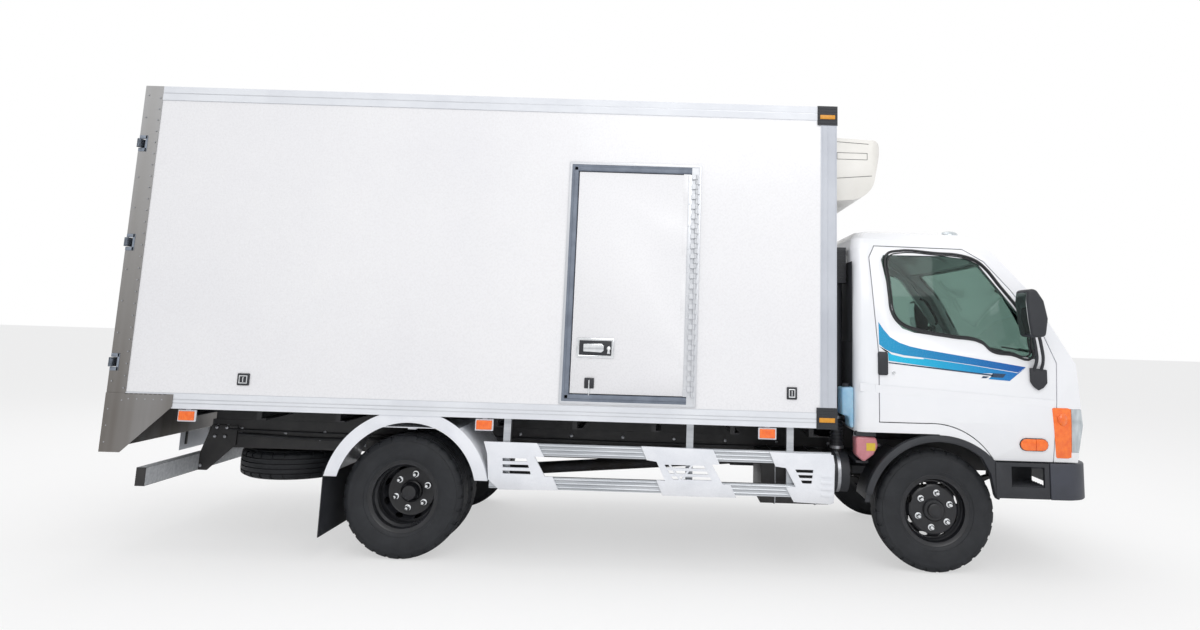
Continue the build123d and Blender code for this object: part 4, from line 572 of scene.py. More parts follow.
# columns: name, form of the left side, finish, body, node that it replaces
wheelRows = [("rimFront", frontRim, wheelPaint, "front_{}_wheel", ["front_{}_rim"]),
             ("nutsFront", frontNuts, chrome, "front_{}_wheel", []),
             ("rimsRear", rearRim, wheelPaint, "rear_{}_wheels", ["rear_{}_rims"]),
             ("nutsRear", rearNuts, chrome, "rear_{}_wheels", [])]
for side, sideName in sides:
    for name, form, finish, body, nodes in wheelRows:
        twin = copyOf(form) if side > 0 else mirrored(form)
        finishPiece(twin, name + sideName.title(), finish, 30, [node.format(sideName) for node in nodes],
                    body.format(sideName))
for name, form, finish, body, nodes in wheelRows:
    bpy.data.objects.remove(form)
print("wheels are on")

# The cab's side, from the front axle: height and half width
cabSideLine = [(0.720, 0.968), (0.950, 0.985), (1.330, 0.985), (1.800, 0.928), (2.050, 0.890), (2.120, 0.850)]


def cabSideAt(z):
    for (z0, y0), (z1, y1) in zip(cabSideLine, cabSideLine[1:]):
        if z <= z1:
            return y0 + (y1 - y0) * (z - z0) / (z1 - z0)
    return cabSideLine[-1][1]


surfaces = {}
for node in ("cab_shell", "cab_glass", "right_door", "right_door_glass", "headlamps"):
    mesh = frame["nodes"][node].data
    surfaces[node] = BVHTree.FromPolygons([vertex.co for vertex in mesh.vertices],
                                          [face.vertices for face in mesh.polygons])


def onCabSide(x, z, lift=0.0, node="cab_shell"):  # a place on the cab's right skin, x from the front axle
    side = cabSideAt(z)
    place = surfaces[node].ray_cast(Vector((frontAxleX + x, -1.3, z)), Vector((0, 1, 0)))[0]
    if place and abs(abs(place.y) - side) < (0.06 if x > 0.6 else 0.004):
        side = -place.y
    return Vector((frontAxleX + x, -side - lift, z))


def addTrim(points, lift, thickness, edge=0.0, node="right_door", seams=()):  # a form laid on the right side
    # columns of points: x from the front axle, z, and more lift if there is a third
    piece = drawLine([(frontAxleX + p[0], 0, p[1]) for p in points], closed=True, fill=True)
    bpy.ops.object.mode_set(mode="EDIT")
    for z in (0.95, 1.33, 1.80):  # the heights at which the side bends
        bpy.ops.mesh.select_all(action="SELECT")
        bpy.ops.mesh.bisect(plane_co=(0, 0, z), plane_no=(0, 0, 1))
    for x in seams:
        bpy.ops.mesh.select_all(action="SELECT")
        bpy.ops.mesh.bisect(plane_co=(frontAxleX + x, 0, 0), plane_no=(1, 0, 0))
    bpy.ops.object.mode_set(mode="OBJECT")
    extra = {(round(p[0], 4), round(p[1], 4)): p[2] for p in points if len(p) > 2}
    for vertex in piece.data.vertices:
        x, z = vertex.co.x - frontAxleX, vertex.co.z
        under = "headlamps" if seams and x > 0.772 else node
        vertex.co = onCabSide(x, z, lift + extra.get((round(x, 4), round(z, 4)), 0), under)
    return softenEdges(thicken(piece, (0, thickness, 0)), edge)


# Cab skins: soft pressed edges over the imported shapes
skinRows = [("cab_shell", 0.006, None), ("left_door", 0.005, None), ("right_door", 0.005, None),
            ("front_bumper", 0.012, bumperPlastic), ("cooling_unit", 0.012, unitGelcoat)]
for node, edge, finish in skinRows:
    dressedCopy(node, edge, 3, 22, 40, finish)
for node in ("rear_fenders", "guard_covers", "front_fenders", "entry_steps"):
    dressedCopy(node, 0.002, 2, 30)
print("skins are on")

# Striping film on the doors, as places on the cab's side from the front axle
stripe = {"upper": [(-.3795, 1.566), (-.348, 1.518), (-.307, 1.470), (-.247, 1.436), (-.182, 1.415),
                    (-.098, 1.399), (.557, 1.306), (.507, 1.271), (.209, 1.311), (-.101, 1.346),
                    (-.223, 1.358), (-.302, 1.374), (-.348, 1.396), (-.380, 1.423)],
          "lower": [(-.380, 1.4105), (-.349, 1.3835), (-.303, 1.361), (-.223, 1.344), (-.099, 1.336),
                    (-.096, 1.342), (.209, 1.307), (.504, 1.267), (.451, 1.218), (.344, 1.2605),
                    (.226, 1.259), (-.323, 1.3205), (-.326, 1.380)],
          "line": [(-.323, 1.312), (.344, 1.253), (.344, 1.244), (-.323, 1.305)],
          "block": [(.344, 1.262), (.4285, 1.259), (.409, 1.235), (.329, 1.236)],
          "tail": [(.557, 1.304), (.451, 1.216), (.315, 1.224), (.334, 1.240), (.440, 1.238), (.507, 1.269)],
          "chip": [(.282, 1.242), (.320, 1.240), (.301, 1.2295), (.269, 1.2285)], "lift": 0.0006,
          "film": -0.0006}
for part, finish in (("upper", upperFilm), ("lower", lowerFilm)):
    bothSides(addTrim(stripe[part], stripe["lift"], stripe["film"]), "stripe" + part.title(), finish,
              body="right_cab_door")
darkParts = [addTrim(stripe[part], stripe["lift"] + 0.0003, stripe["film"])
             for part in ("line", "block", "chip")]
bothSides(darkParts, "stripeDark", darkFilm, body="right_cab_door")
bothSides(addTrim(stripe["tail"], stripe["lift"] + 0.0002, stripe["film"]), "stripeTail", lowerFilm,
          body="right_cab_door")
print("door film is on")

# Window rubbers round the door glass, the windscreen and the rear window
doorRubber = {"radius": 0.0085,
              "line": [(-.319, 1.969), (-.302, 2.016), (-.245, 2.037), (.026, 2.031), (.198, 2.019),
                       (.292, 1.986), (.345, 1.941), (.430, 1.826), (.561, 1.648), (.600, 1.567),
                       (.602, 1.450), (.600, 1.366), (.470, 1.382), (.349, 1.399), (.285, 1.453),
                       (.090, 1.483), (-.100, 1.511), (-.237, 1.558), (-.285, 1.619), (-.303, 1.750),
                       (-.311, 1.860)]}
rubberPath = [onCabSide(x, z, 0.001, "cab_shell" if z > 2.0 else "right_door") for x, z in doorRubber["line"]]
bothSides(addTube(rubberPath, doorRubber["radius"], closed=True), "doorWindowRubber", windowRubber,
          body="right_cab_door")
glassLip = [(x * 0.965 + 0.006, 1.72 + (z - 1.72) * 0.955) for x, z in doorRubber["line"]]
lipPath = [onCabSide(x, z, -0.004, "right_door_glass") for x, z in glassLip]
bothSides(addTube(lipPath, 0.006, closed=True), "doorGlassLip", windowRubber, body="right_cab_door")

screen = {"bottom": 1.350, "top": 2.000, "foot": 0.875, "head": 0.795, "rubber": 0.011}


def onCabFront(y, z, lift=0.0):  # a place on the cab's front skin
    place = surfaces["cab_shell"].ray_cast(Vector((4.0, y, z)), Vector((-1, 0, 0)))[0]
    if not place or place.x < 2.3:
        place = surfaces["cab_glass"].ray_cast(Vector((4.0, y, z)), Vector((-1, 0, 0)))[0]
        place.x += 0.010
    return Vector((place.x + lift, y, z))


screenLine = []
for side, low in ((1, False), (-1, False), (-1, True), (1, True)):
    reach = (screen["foot"] if low else screen["head"]) + 0.002
    level = screen["bottom"] - 0.004 if low else screen["top"] + 0.004
    inward = 1 if low else -1
    corner = [(reach * side, level + inward * 0.060), (side * (reach - 0.016), level + inward * 0.017),
              (side * (reach - 0.060), level)]
    screenLine += corner if (side > 0) != low else list(reversed(corner))
    if not low and side > 0:
        screenLine += [(y, level) for y in (0.55, 0.28, 0.0, -0.28, -0.55)]
    if low and side < 0:
        screenLine += [(y, level) for y in (-0.55, -0.28, 0.0, 0.28, 0.55)]
    if not low and side < 0:
        screenLine += [(-0.825, 1.83), (-0.853, 1.60)]
screenLine += [(0.853, 1.60), (0.825, 1.83)]
screenRubber = addTube([onCabFront(y, z, 0.001) for y, z in screenLine], screen["rubber"], closed=True)
rearWindow = [(0.452, 1.50), (0.452, 1.83), (0.437, 1.867), (0.40, 1.882), (-0.40, 1.882), (-0.437, 1.867),
              (-0.452, 1.83), (-0.452, 1.50), (-0.437, 1.463), (-0.40, 1.448), (0.40, 1.448), (0.437, 1.463)]
rearRubber = addTube([(1.579, y, z) for y, z in rearWindow], 0.010, closed=True, smooth=False)
finishPiece([screenRubber, rearRubber], "screenRubbers", windowRubber)

# Wipers: two arms and blades parked along the foot of the windscreen
wiper = {"pivots": [(-0.52, 1.325), (0.12, 1.325)], "reach": 0.50, "blade": 0.56, "lift": 0.020,
         "cap": [(-0.010, 0.016), (0.012, 0.015), (0.018, 0.009), (0.019, 0.0001)], "arm": 0.0055,
         "rubber": 0.006}
wiperParts = []
for y, z in wiper["pivots"]:
    foot = onCabFront(y, z, 0.006)
    elbow = onCabFront(y + 0.06, z + 0.040, wiper["lift"] + 0.004)
    tip = onCabFront(y + wiper["reach"] * 0.86, z + 0.085, wiper["lift"])
    blade = [onCabFront(y + 0.16 + wiper["blade"] * t, z + 0.062 + 0.03 * t, 0.012)
             for t in (0, 0.33, 0.66, 1)]
    wiperParts += [spinProfile(wiper["cap"], foot, "X", 20),
                   addTube([foot + Vector((0.014, 0, 0)), elbow, tip], wiper["arm"]),
                   addTube(blade, wiper["rubber"])]
finishPiece(wiperParts, "wipers", windowRubber)
print("rubbers and wipers are on")

# Door handle flap, lock, and the pressing along the door
handle = {"flap": [(-.392, 1.236), (-.385, 1.229), (-.335, 1.229), (-.328, 1.236), (-.328, 1.369),
                   (-.335, 1.376), (-.385, 1.376), (-.392, 1.369)], "proud": 0.012, "edge": 0.005}
bothSides(addTrim(handle["flap"], -0.006, -handle["proud"] - 0.006, handle["edge"]), "doorHandle",
          grainedPlastic, body="right_cab_door")
lockPlace = onCabSide(-.293, 1.245)
lockBarrel = spinProfile([(0.004, 0.0125), (-0.004, 0.012), (-0.006, 0.009), (-0.004, 0.007),
                          (-0.004, 0.0001)], lockPlace, "Y", 24)
bothSides(lockBarrel, "doorLock", chrome, body="right_cab_door")
crease = {"door": [(-.410, 1.1685, .0055), (-.10, 1.1515, .0055), (.148, 1.137, .0055), (.45, 1.1195, .0055),
                   (.735, 1.104, .0055), (.728, 1.063), (.45, 1.077), (.147, 1.091), (-.10, 1.103),
                   (-.408, 1.118)],
          "shell": [(-.507, 1.179, .0055), (-.430, 1.1705, .0055), (-.430, 1.119), (-.507, 1.125)]}
bothSides(addTrim(crease["door"], 0.0002, 0.004), "doorCrease", cabEnamel, 10, body="right_cab_door")
bothSides(addTrim(crease["shell"], 0.0002, 0.004, node="cab_shell"), "rearCrease", cabEnamel, 10)

# Repeater lamp low on the door: a dark base and a lens in two parts
repeater = {"x": (.508, .684), "z": (.788, .860), "proud": 0.016, "split": .606}


def capsule(x0, x1, z0, z1, roundStart=True, roundEnd=True):  # an outline with round ends
    middle, reach = (z0 + z1) / 2, (z1 - z0) / 2
    turns = [math.pi * i / 6 for i in range(7)]
    start = [(x0 + reach - reach * math.sin(t), middle + reach * math.cos(t)) for t in turns]
    end = [(x1 - reach + reach * math.sin(t), middle - reach * math.cos(t)) for t in turns]
    return (start if roundStart else [(x0, z1), (x0, z0)]) + (end if roundEnd else [(x1, z0), (x1, z1)])


rx0, rx1 = repeater["x"]
rz0, rz1 = repeater["z"]
base = addTrim(capsule(rx0 - .004, rx1 + .004, rz0 - .004, rz1 + .004), -0.004, -0.009, 0.002)
bothSides(base, "repeaterBase", windowRubber, body="right_cab_door")
rearLens = addTrim(capsule(rx0, repeater["split"] - .001, rz0, rz1, True, False), 0.002,
                   -repeater["proud"] + 0.002, 0.004)
frontLens = addTrim(capsule(repeater["split"] + .001, rx1, rz0, rz1, False, True), 0.002,
                    -repeater["proud"] + 0.005, 0.004)
bothSides([rearLens, frontLens], "repeaterLens", orangeLens, body="right_cab_door")
print("door furniture is on")

# Moulding round the front wheel arch, and the dark strip under the rear of the cab
arch = {"outer": 0.486, "inner": 0.442, "start": 166, "end": 38, "steps": 26, "y": (-0.979, -0.925)}
archTurns = [math.radians(arch["start"] + (arch["end"] - arch["start"]) * i / arch["steps"])
             for i in range(arch["steps"] + 1)]
archLine = [(frontAxleX + arch["outer"] * math.cos(t), arch["y"][0], axleZ + arch["outer"] * math.sin(t))
            for t in archTurns]
archLine += [(frontAxleX + 0.386, arch["y"][0], 0.672), (frontAxleX + 0.366, arch["y"][0], 0.600),
             (frontAxleX + 0.372, arch["y"][0], 0.484), (frontAxleX + 0.358, arch["y"][0], 0.481),
             (frontAxleX + 0.344, arch["y"][0], 0.508), (frontAxleX + 0.319, arch["y"][0], 0.637)]
archLine += [(frontAxleX + arch["inner"] * math.cos(t), arch["y"][0], axleZ + arch["inner"] * math.sin(t))
             for t in reversed(archTurns) if t > math.radians(50)]
archPlate = addPlate(archLine, (0, arch["y"][1] - arch["y"][0], 0), 0.006, 2)
bothSides(archPlate, "archMoulding", grainedPlastic)
sillStrip = addBlock((frontAxleX - 0.530, -0.955, 0.842), (frontAxleX - 0.398, -0.905, 0.874), 0.004)
bothSides(sillStrip, "cabSillStrip", grainedPlastic)

# Headlamps: an orange corner lamp with a bulged lens, and a clear lamp with a reflector on the front
cornerLamp = {"seamX": 2.952, "bulgeX": 2.900, "bulgeZ": 0.985}
lampSkin = softenEdges(mergedCopy("headlamps"), 0.004, 2, 25)
clearPart = copyOf(lampSkin)
orangePart = cutBy(lampSkin, (cornerLamp["seamX"] - 0.001, 0, 0), (1, 0, 0))
clearPart = cutBy(clearPart, (cornerLamp["seamX"] + 0.001, 0, 0), (1, 0, 0), keepInner=False)
finishPiece(orangePart, "cornerLamps", orangeLens, replaces=("headlamps",))
finishPiece(clearPart, "headlampLenses", lampGlass, replaces=("headlamps",))
cornerLine = [(.716, 1.052), (.724, 1.057), (.815, 1.057), (.834, 1.050), (.834, .785), (.834, .752),
              (.812, .745), (.745, .745), (.737, .752)]
bothSides(addTrim(cornerLine, -0.001, -0.004, 0.0015, "cab_shell", (.74, .755, .772, .785, .80, .815, .825)),
          "cornerLampSides", orangeLens)
bulgeSpot = onCabSide(cornerLamp["bulgeX"] - frontAxleX, cornerLamp["bulgeZ"], 0.0, "headlamps")
bulge = spinProfile([(0.006, 0.041), (-0.006, 0.040), (-0.014, 0.034), (-0.019, 0.022), (-0.021, 0.0001)],
                    (0, 0, 0), "Y", 28)
bulge.data.transform(Matrix.Rotation(math.radians(24), 4, "Z"))
bulge.data.transform(Matrix.Translation(bulgeSpot + Vector((0.0, 0.006, 0))))
bothSides(bulge, "cornerBulges", orangeLens)


def onFront(y, z, lift=0.0):  # a place on the front below the windscreen, lamps included
    reach = max((surfaces[node].ray_cast(Vector((4.0, y, z)), Vector((-1, 0, 0)))[0] or Vector((0, 0, 0))).x
                for node in ("cab_shell", "headlamps"))
    return Vector((reach + lift, y, z))


headlamp = {"middles": (0.700, 0.852), "z": 0.917, "radius": 0.066, "inner": 0.046,
            "edge": [(0.604, 0.786), (0.75, 0.786), (0.88, 0.786), (0.925, 0.786), (0.925, 0.917),
                     (0.925, 1.048), (0.88, 1.048), (0.75, 1.048), (0.604, 1.048), (0.604, 0.917)]}
rings, bowls = [], []
for y in headlamp["middles"]:
    for radius, bar in ((headlamp["radius"], 0.0045), (headlamp["inner"], 0.0025)):
        circle = [(-y + radius * math.cos(i * math.pi / 8),
                   headlamp["z"] + radius * math.sin(i * math.pi / 8)) for i in range(16)]
        rings.append(addTube([onFront(a, b, 0.001) for a, b in circle], bar, closed=True))
    middle = onFront(-y, headlamp["z"])
    bowls.append(spinProfile([(-0.004, headlamp["inner"]), (0.003, headlamp["inner"] * 0.7), (0.006, 0.0001)],
                             middle, "X", 28))
bothSides(rings, "headlampRings", chrome)
bothSides(bowls, "headlampBowls", reflector)
lampEdge = addTube([onFront(-y, z, 0.0005) for y, z in headlamp["edge"]], 0.0045, closed=True, smooth=False)
bothSides(lampEdge, "headlampSeals", windowRubber)

# Front panel: the seam of its flap, fog lamps in the bumper and a blank plate
flapSeam = [addTube([onFront(y, z, 0.0002) for y in (-0.86, -0.6, -0.3, 0, 0.3, 0.6, 0.86)], 0.0016)
            for z in (1.225, 1.072)]
flapSeam += [addTube([onFront(y, z, 0.0002) for z in (1.072, 1.15, 1.225)], 0.0016) for y in (-0.86, 0.86)]
finishPiece(flapSeam, "frontSeams", windowRubber)
fogSpot = Vector((3.103, -0.640, 0.600))
fogRing = spinProfile([(-0.030, 0.052), (0.008, 0.052), (0.012, 0.047), (0.004, 0.043), (-0.030, 0.043)],
                      fogSpot, "X", 32, closed=True)
fogLens = spinProfile([(-0.020, 0.043), (0.004, 0.042), (0.008, 0.030), (0.010, 0.0001)], fogSpot, "X", 32)
bothSides(fogRing, "fogRings", grainedPlastic)
bothSides(fogLens, "fogLenses", lampGlass)
grooves = [addTube([(3.1300 - 0.0595 * (y / 0.985) ** 2 - 0.0045, y, z)
                    for y in (-0.56, -0.3, 0.0, 0.3, 0.56)], 0.0035) for z in (0.640, 0.560)]
finishPiece(grooves, "bumperGrooves", windowRubber)
frontPlate = addBlock((3.0500, -0.230, 0.722), (3.0560, 0.230, 0.830), 0.002)
finishPiece(frontPlate, "frontPlate", powderCoat)
print("lamps are on")

# Mirrors: a rounded head on two bent arms from a shield on the door
mirror = {"yNear": -1.040, "yFar": -1.2265, "edge": 0.020,
          "head": [(.481, 1.790), (.512, 1.7945), (.537, 1.792), (.581, 1.723), (.604, 1.613), (.587, 1.503),
                   (.545, 1.497), (.499, 1.499), (.484, 1.601), (.474, 1.719)],
          "shield": [(.578, 1.304), (.686, 1.294), (.686, 1.210), (.660, 1.180), (.630, 1.163), (.600, 1.185),
                     (.579, 1.216)],
          "pane": [(.4805, 1.772), (.4735, 1.715), (.4800, 1.640), (.4835, 1.601), (.497, 1.515),
                   (.502, 1.515), (.489, 1.601), (.479, 1.715), (.486, 1.772)]}
head = addPlate([(frontAxleX + x, mirror["yNear"], z) for x, z in mirror["head"]],
                (0, mirror["yFar"] - mirror["yNear"], 0), mirror["edge"], 4)
shield = addTrim(mirror["shield"], -0.002, -0.022, 0.006)
armRows = [[(.602, 1.286, 0.012), (.609, 1.350, 0.045), (.588, 1.420, 0.095), (.562, 1.505, 0.135)],
           [(.650, 1.290, 0.012), (.648, 1.350, 0.050), (.618, 1.440, 0.110), (.585, 1.540, 0.150)]]
arms = [addTube([onCabSide(x, z, lift, "right_door") for x, z, lift in row], 0.0105) for row in armRows]
bothSides([head, shield] + arms, "mirror", grainedPlastic, 40, replaces=("right_mirror",),
          body="right_cab_door")
glassPane = addPlate([(frontAxleX + x, -1.058, z) for x, z in mirror["pane"]], (0, -0.150, 0), 0.0)
glassPane.data.transform(Matrix.Translation((-0.002, 0, 0)))
bothSides(glassPane, "mirrorGlass", mirrorGlass, body="right_cab_door")
print("mirrors are on")

# Entry steps: a ridged tread plate in the pocket
tread = {"x": (2.568, 2.790), "y": (-0.968, -0.760), "z": 0.563, "ribs": 7}
ribs = []
for index in range(tread["ribs"]):
    y = tread["y"][0] + (tread["y"][1] - tread["y"][0]) * index / (tread["ribs"] - 1)
    ribs.append(addBlock((tread["x"][0], y - 0.006, tread["z"] - 0.002),
                         (tread["x"][1], y + 0.006, tread["z"] + 0.008), 0.002, 1))
bothSides(ribs, "stepTread", grainedPlastic)

# Beacon: a clear ribbed dome on a black foot
beacon = {"x": 2.435, "y": -0.300, "foot": 2.150, "collar": 2.216, "top": 2.2535}
foot = spinProfile([(beacon["foot"] - 0.02, 0.0001), (beacon["foot"] - 0.02, 0.072),
                    (beacon["collar"] - 0.006, 0.074), (beacon["collar"], 0.070), (beacon["collar"], 0.0001)],
                   (beacon["x"], beacon["y"], 0), "Z", 40)
finishPiece(foot, "beaconFoot", grainedPlastic, 30, replaces=("beacon",))
domeProfile = [(beacon["collar"], 0.067), (beacon["collar"] + 0.012, 0.066),
               (beacon["collar"] + 0.024, 0.060), (beacon["top"] - 0.006, 0.050),
               (beacon["top"] - 0.001, 0.036), (beacon["top"], 0.0001)]
dome = spinProfile(domeProfile, (beacon["x"], beacon["y"], 0), "Z", 40)
finishPiece(dome, "beaconDome", lampGlass, 30, replaces=("beacon",))
print("beacon is on")

# Side door: aluminium border, slate gasket in two steps, a plain leaf and a piano hinge
sideDoor = {"x0": -0.299, "x1": 0.558, "z0": 0.998, "z1": 2.540, "face": -1.055, "hingeX": 0.531,
            "hingeY": -1.069, "knuckles": 44, "knuckleRadius": 0.0080, "leafX1": 0.494, "border": 0.016,
            "step": 0.024}
frameCopy = cutBy(mergedCopy("side_door_frame"), (0, sideDoor["face"] - 0.0002, 0), (0, -1, 0))
finishPiece(frameCopy, "sideDoorGasket", gasketRubber, 30, replaces=("side_door_frame",))
corners = (sideDoor["x0"] - 0.002, sideDoor["z0"] - 0.002, sideDoor["x1"] + 0.002, sideDoor["z1"] + 0.002)
border = addRing(corners, sideDoor["face"] + 0.001, sideDoor["border"], -0.005, 0.0015)
finishPiece(border, "sideDoorBorder", trimAluminium)
x0, x1 = sideDoor["x0"] + 0.031, sideDoor["x1"] - 0.060
z0, z1 = sideDoor["z0"] + 0.031, sideDoor["z1"] - 0.031
stepY = (sideDoor["face"] - 0.006, sideDoor["face"] + 0.001)
steps = [addBlock((x0, stepY[0], z0), (x0 + sideDoor["step"], stepY[1], z1), 0.003),
         addBlock((x0, stepY[0], z0), (x1, stepY[1], z0 + sideDoor["step"]), 0.003),
         addBlock((x0, stepY[0], z1 - sideDoor["step"]), (x1, stepY[1], z1), 0.003)]
finishPiece(steps, "sideDoorGasketStep", gasketRubber)
leaf = cutBy(mergedCopy("side_door"), (0, sideDoor["face"] - 0.0002, 0), (0, -1, 0))
leaf = softenEdges(cutBy(leaf, (sideDoor["leafX1"] + 0.0002, 0, 0), (1, 0, 0)), 0.004, 2, 30)
finishPiece(leaf, "sideDoorLeaf", gelcoat, replaces=("side_door",), body="side_door")
hingeRoot = sideDoor["z0"] + 0.062
hingePitch = (sideDoor["z1"] - sideDoor["z0"] - 0.124) / sideDoor["knuckles"]
pinX, pinY, knuckleRadius = sideDoor["hingeX"], sideDoor["hingeY"], sideDoor["knuckleRadius"]
plateY = (sideDoor["face"] - 0.0035, sideDoor["face"] + 0.0005)
hingeTop = hingeRoot + hingePitch * sideDoor["knuckles"]
fingers = {0: [], 1: []}  # hinge forms of the frame's side and of the leaf's side
for index in range(sideDoor["knuckles"]):
    low, high = hingeRoot + index * hingePitch + 0.001, hingeRoot + (index + 1) * hingePitch - 0.001
    x0, x1 = (0.500, 0.530) if index % 2 else (0.532, 0.552)
    fingers[index % 2] += [addRod((pinX, pinY, low), (pinX, pinY, high), knuckleRadius, 12),
                           addBlock((x0, pinY - 0.001, low), (x1, sideDoor["face"] - 0.003, high), 0.0)]
fingers[0] += [addBlock((0.5335, plateY[0], hingeRoot), (0.556, plateY[1], hingeTop), 0.001),
               addBlock((0.4985, -1.0562, sideDoor["z0"] + 0.014),
                        (0.5600, -1.0548, sideDoor["z1"] - 0.014), 0.0)]
fingers[1].append(addBlock((0.476, plateY[0], hingeRoot), (0.503, plateY[1], hingeTop), 0.001))
screwHeights = [hingeRoot + 0.05 + 0.147 * i for i in range(10)]
screws = addCaps([(0.485, -plateY[0] - 0.0002, z) for z in screwHeights], 0.0050, 0.002)
fingers[1].append(mirrored(screws))
bpy.data.objects.remove(screws)
finishPiece(fingers[0], "sideHingeFrame", trimAluminium)
finishPiece(fingers[1], "sideHingeLeaf", trimAluminium, body="side_door")

# Side door lock: a chromed bezel with a paddle, and a small catch below it
bezel = {"x0": -0.203, "x1": 0.034, "z0": 1.283, "z1": 1.408}
bezelRim = addRing((bezel["x0"], bezel["z0"], bezel["x1"], bezel["z1"]), -1.0545, 0.017, -0.010, 0.006)
paddle = addPlate(atY(-1.061, [(-0.160, 1.322), (-0.045, 1.318), (-0.030, 1.330), (-0.030, 1.362),
                               (-0.045, 1.374), (-0.160, 1.370)]), (0, -0.010, 0), 0.004, 3)
cylinder = spinProfile([(0.008, 0.0125), (-0.008, 0.012), (-0.009, 0.009), (-0.009, 0.0001)],
                       (0.001, -1.060, 1.345), "Y", 20)
key = addPlate(atY(-1.0695, [(-0.003, 1.348), (0.005, 1.348), (0.008, 1.330), (0.011, 1.312), (-0.009, 1.312),
                             (-0.006, 1.330)]), (0, -0.003, 0), 0.001)
hookPath = [(-1.0580, 1.150), (-1.0615, 1.135), (-1.0615, 1.110), (-1.0600, 1.095), (-1.0570, 1.060),
            (-1.0570, 1.030)]
hook = addTube([(-0.115, y, z) for y, z in hookPath], 0.004)
finishPiece([bezelRim, paddle, cylinder, key, hook], "sideDoorLock", chrome, body="side_door")
dish = addBlock((bezel["x0"] + 0.012, -1.0605, bezel["z0"] + 0.012),
                (bezel["x1"] - 0.012, -1.0545, bezel["z1"] - 0.012), 0.003)
catch = addBlock((-0.145, -1.0625, 1.094), (-0.084, -1.0545, 1.159), 0.006)
finishPiece([dish, catch], "sideDoorLockDish", grainedPlastic, body="side_door")
sideCatches, catchRims = [], []
for x0, x1, z0, z1 in ((1.130, 1.195, 1.064, 1.140), (-2.323, -2.246, 1.047, 1.121)):
    middle = (x0 + x1) / 2
    sideCatches.append(addBlock((x0, -1.0585, z0), (x1, -1.0495, z1), 0.006))
    catchRims += [addRing((x0 + 0.012, z0 + 0.012, x1 - 0.012, z1 - 0.012), -1.0575, 0.006, -0.004, 0.0015),
                  addTube([(middle, -1.0585, z1 - 0.022), (middle, -1.0600, (z0 + z1) / 2),
                           (middle, -1.0585, z0 + 0.022)], 0.0035)]
finishPiece(sideCatches, "sideCatches", grainedPlastic)
finishPiece(catchRims, "sideCatchRims", chrome)
print("side door is on")

# Box edges: aluminium lines in the rails, grey front posts, ridged corner caps with an orange strip
rails = {"x0": -3.011, "x1": 1.317, "lines": (0.927, 0.949, 2.919), "y": (-1.0535, -1.0512), "height": 0.0055}
railLines = [addBlock((rails["x0"], rails["y"][0], z - rails["height"] / 2),
                      (rails["x1"], rails["y"][1], z + rails["height"] / 2), 0.0) for z in rails["lines"]]
railLines += [addBlock((rails["x0"], -1.0515, z - 0.002), (1.340, -1.0485, z + 0.002), 0.0)
              for z in (0.9865, 2.8715)]
bothSides(railLines, "railLines", trimAluminium)
post = addBlock((1.3415, -1.0560, 1.019), (1.4448, -1.0540, 2.839), 0.0)
postRibs = [addBlock((x, -1.0580, 1.019), (x + 0.006, -1.0550, 2.839), 0.001, 1)
            for x in (1.349, 1.385, 1.436)]
bothSides([post] + postRibs, "frontPosts", postGrey)
ridges = []
for z0 in (0.889, 2.839):
    ridges += [addBlock((1.320, -1.0612, z0 + 0.012 + 0.0195 * i), (1.446, -1.0580, z0 + 0.019 + 0.0195 * i),
                        0.001, 1) for i in range(6)]
bothSides(ridges, "capRidges", grainedPlastic)
strips = [addBlock((1.334, -1.0632, z), (1.432, -1.0600, z + 0.028), 0.0015) for z in (0.930, 2.880)]
bothSides(strips, "capStrips", amberStrip)
roofBow = [addBlock((x, -0.95, 2.958), (x + 0.004, 0.95, 2.9615), 0.0) for x in (-2.0, -1.0, 0.0, 0.9)]
finishPiece(roofBow, "roofSeams", windowRubber)
print("box edges are on")

# Rear frame: rivets, a dashed seam on the gussets, lamps and a blank plate under the panel
rearEdge = {"x": -3.026, "pitch": 0.075, "first": 0.935, "count": 27, "y": 1.0595, "radius": 0.0048,
            "hinges": (1.168, 1.925, 2.575),
            "leafX": -3.0852, "gearX": -3.0853, "leafY": 0.9785, "gearY": 0.9780}
rivetSpots = [(rearEdge["x"], rearEdge["y"], rearEdge["first"] + rearEdge["pitch"] * i)
              for i in range(rearEdge["count"])]
rivetSpots += [(-2.985 + 0.052 * i, rearEdge["y"], 0.945) for i in range(5)]
rivetSpots += [(-3.105, rearEdge["y"], z) for z in (0.68, 0.78, 0.88, 1.05, 1.35, 1.55, 1.75, 2.15, 2.35,
                                                    2.75, 2.90)]
bothSides(addCaps(rivetSpots, rearEdge["radius"], 0.0022, steps=8), "rearRivets", zincPlate)
dashes = [addBlock((-3.010 + 0.030 * i, -1.0609, 0.9745), (-2.992 + 0.030 * i, -1.0590, 0.9775), 0.0)
          for i in range(9)]
bothSides(dashes, "gussetSeam", windowRubber)
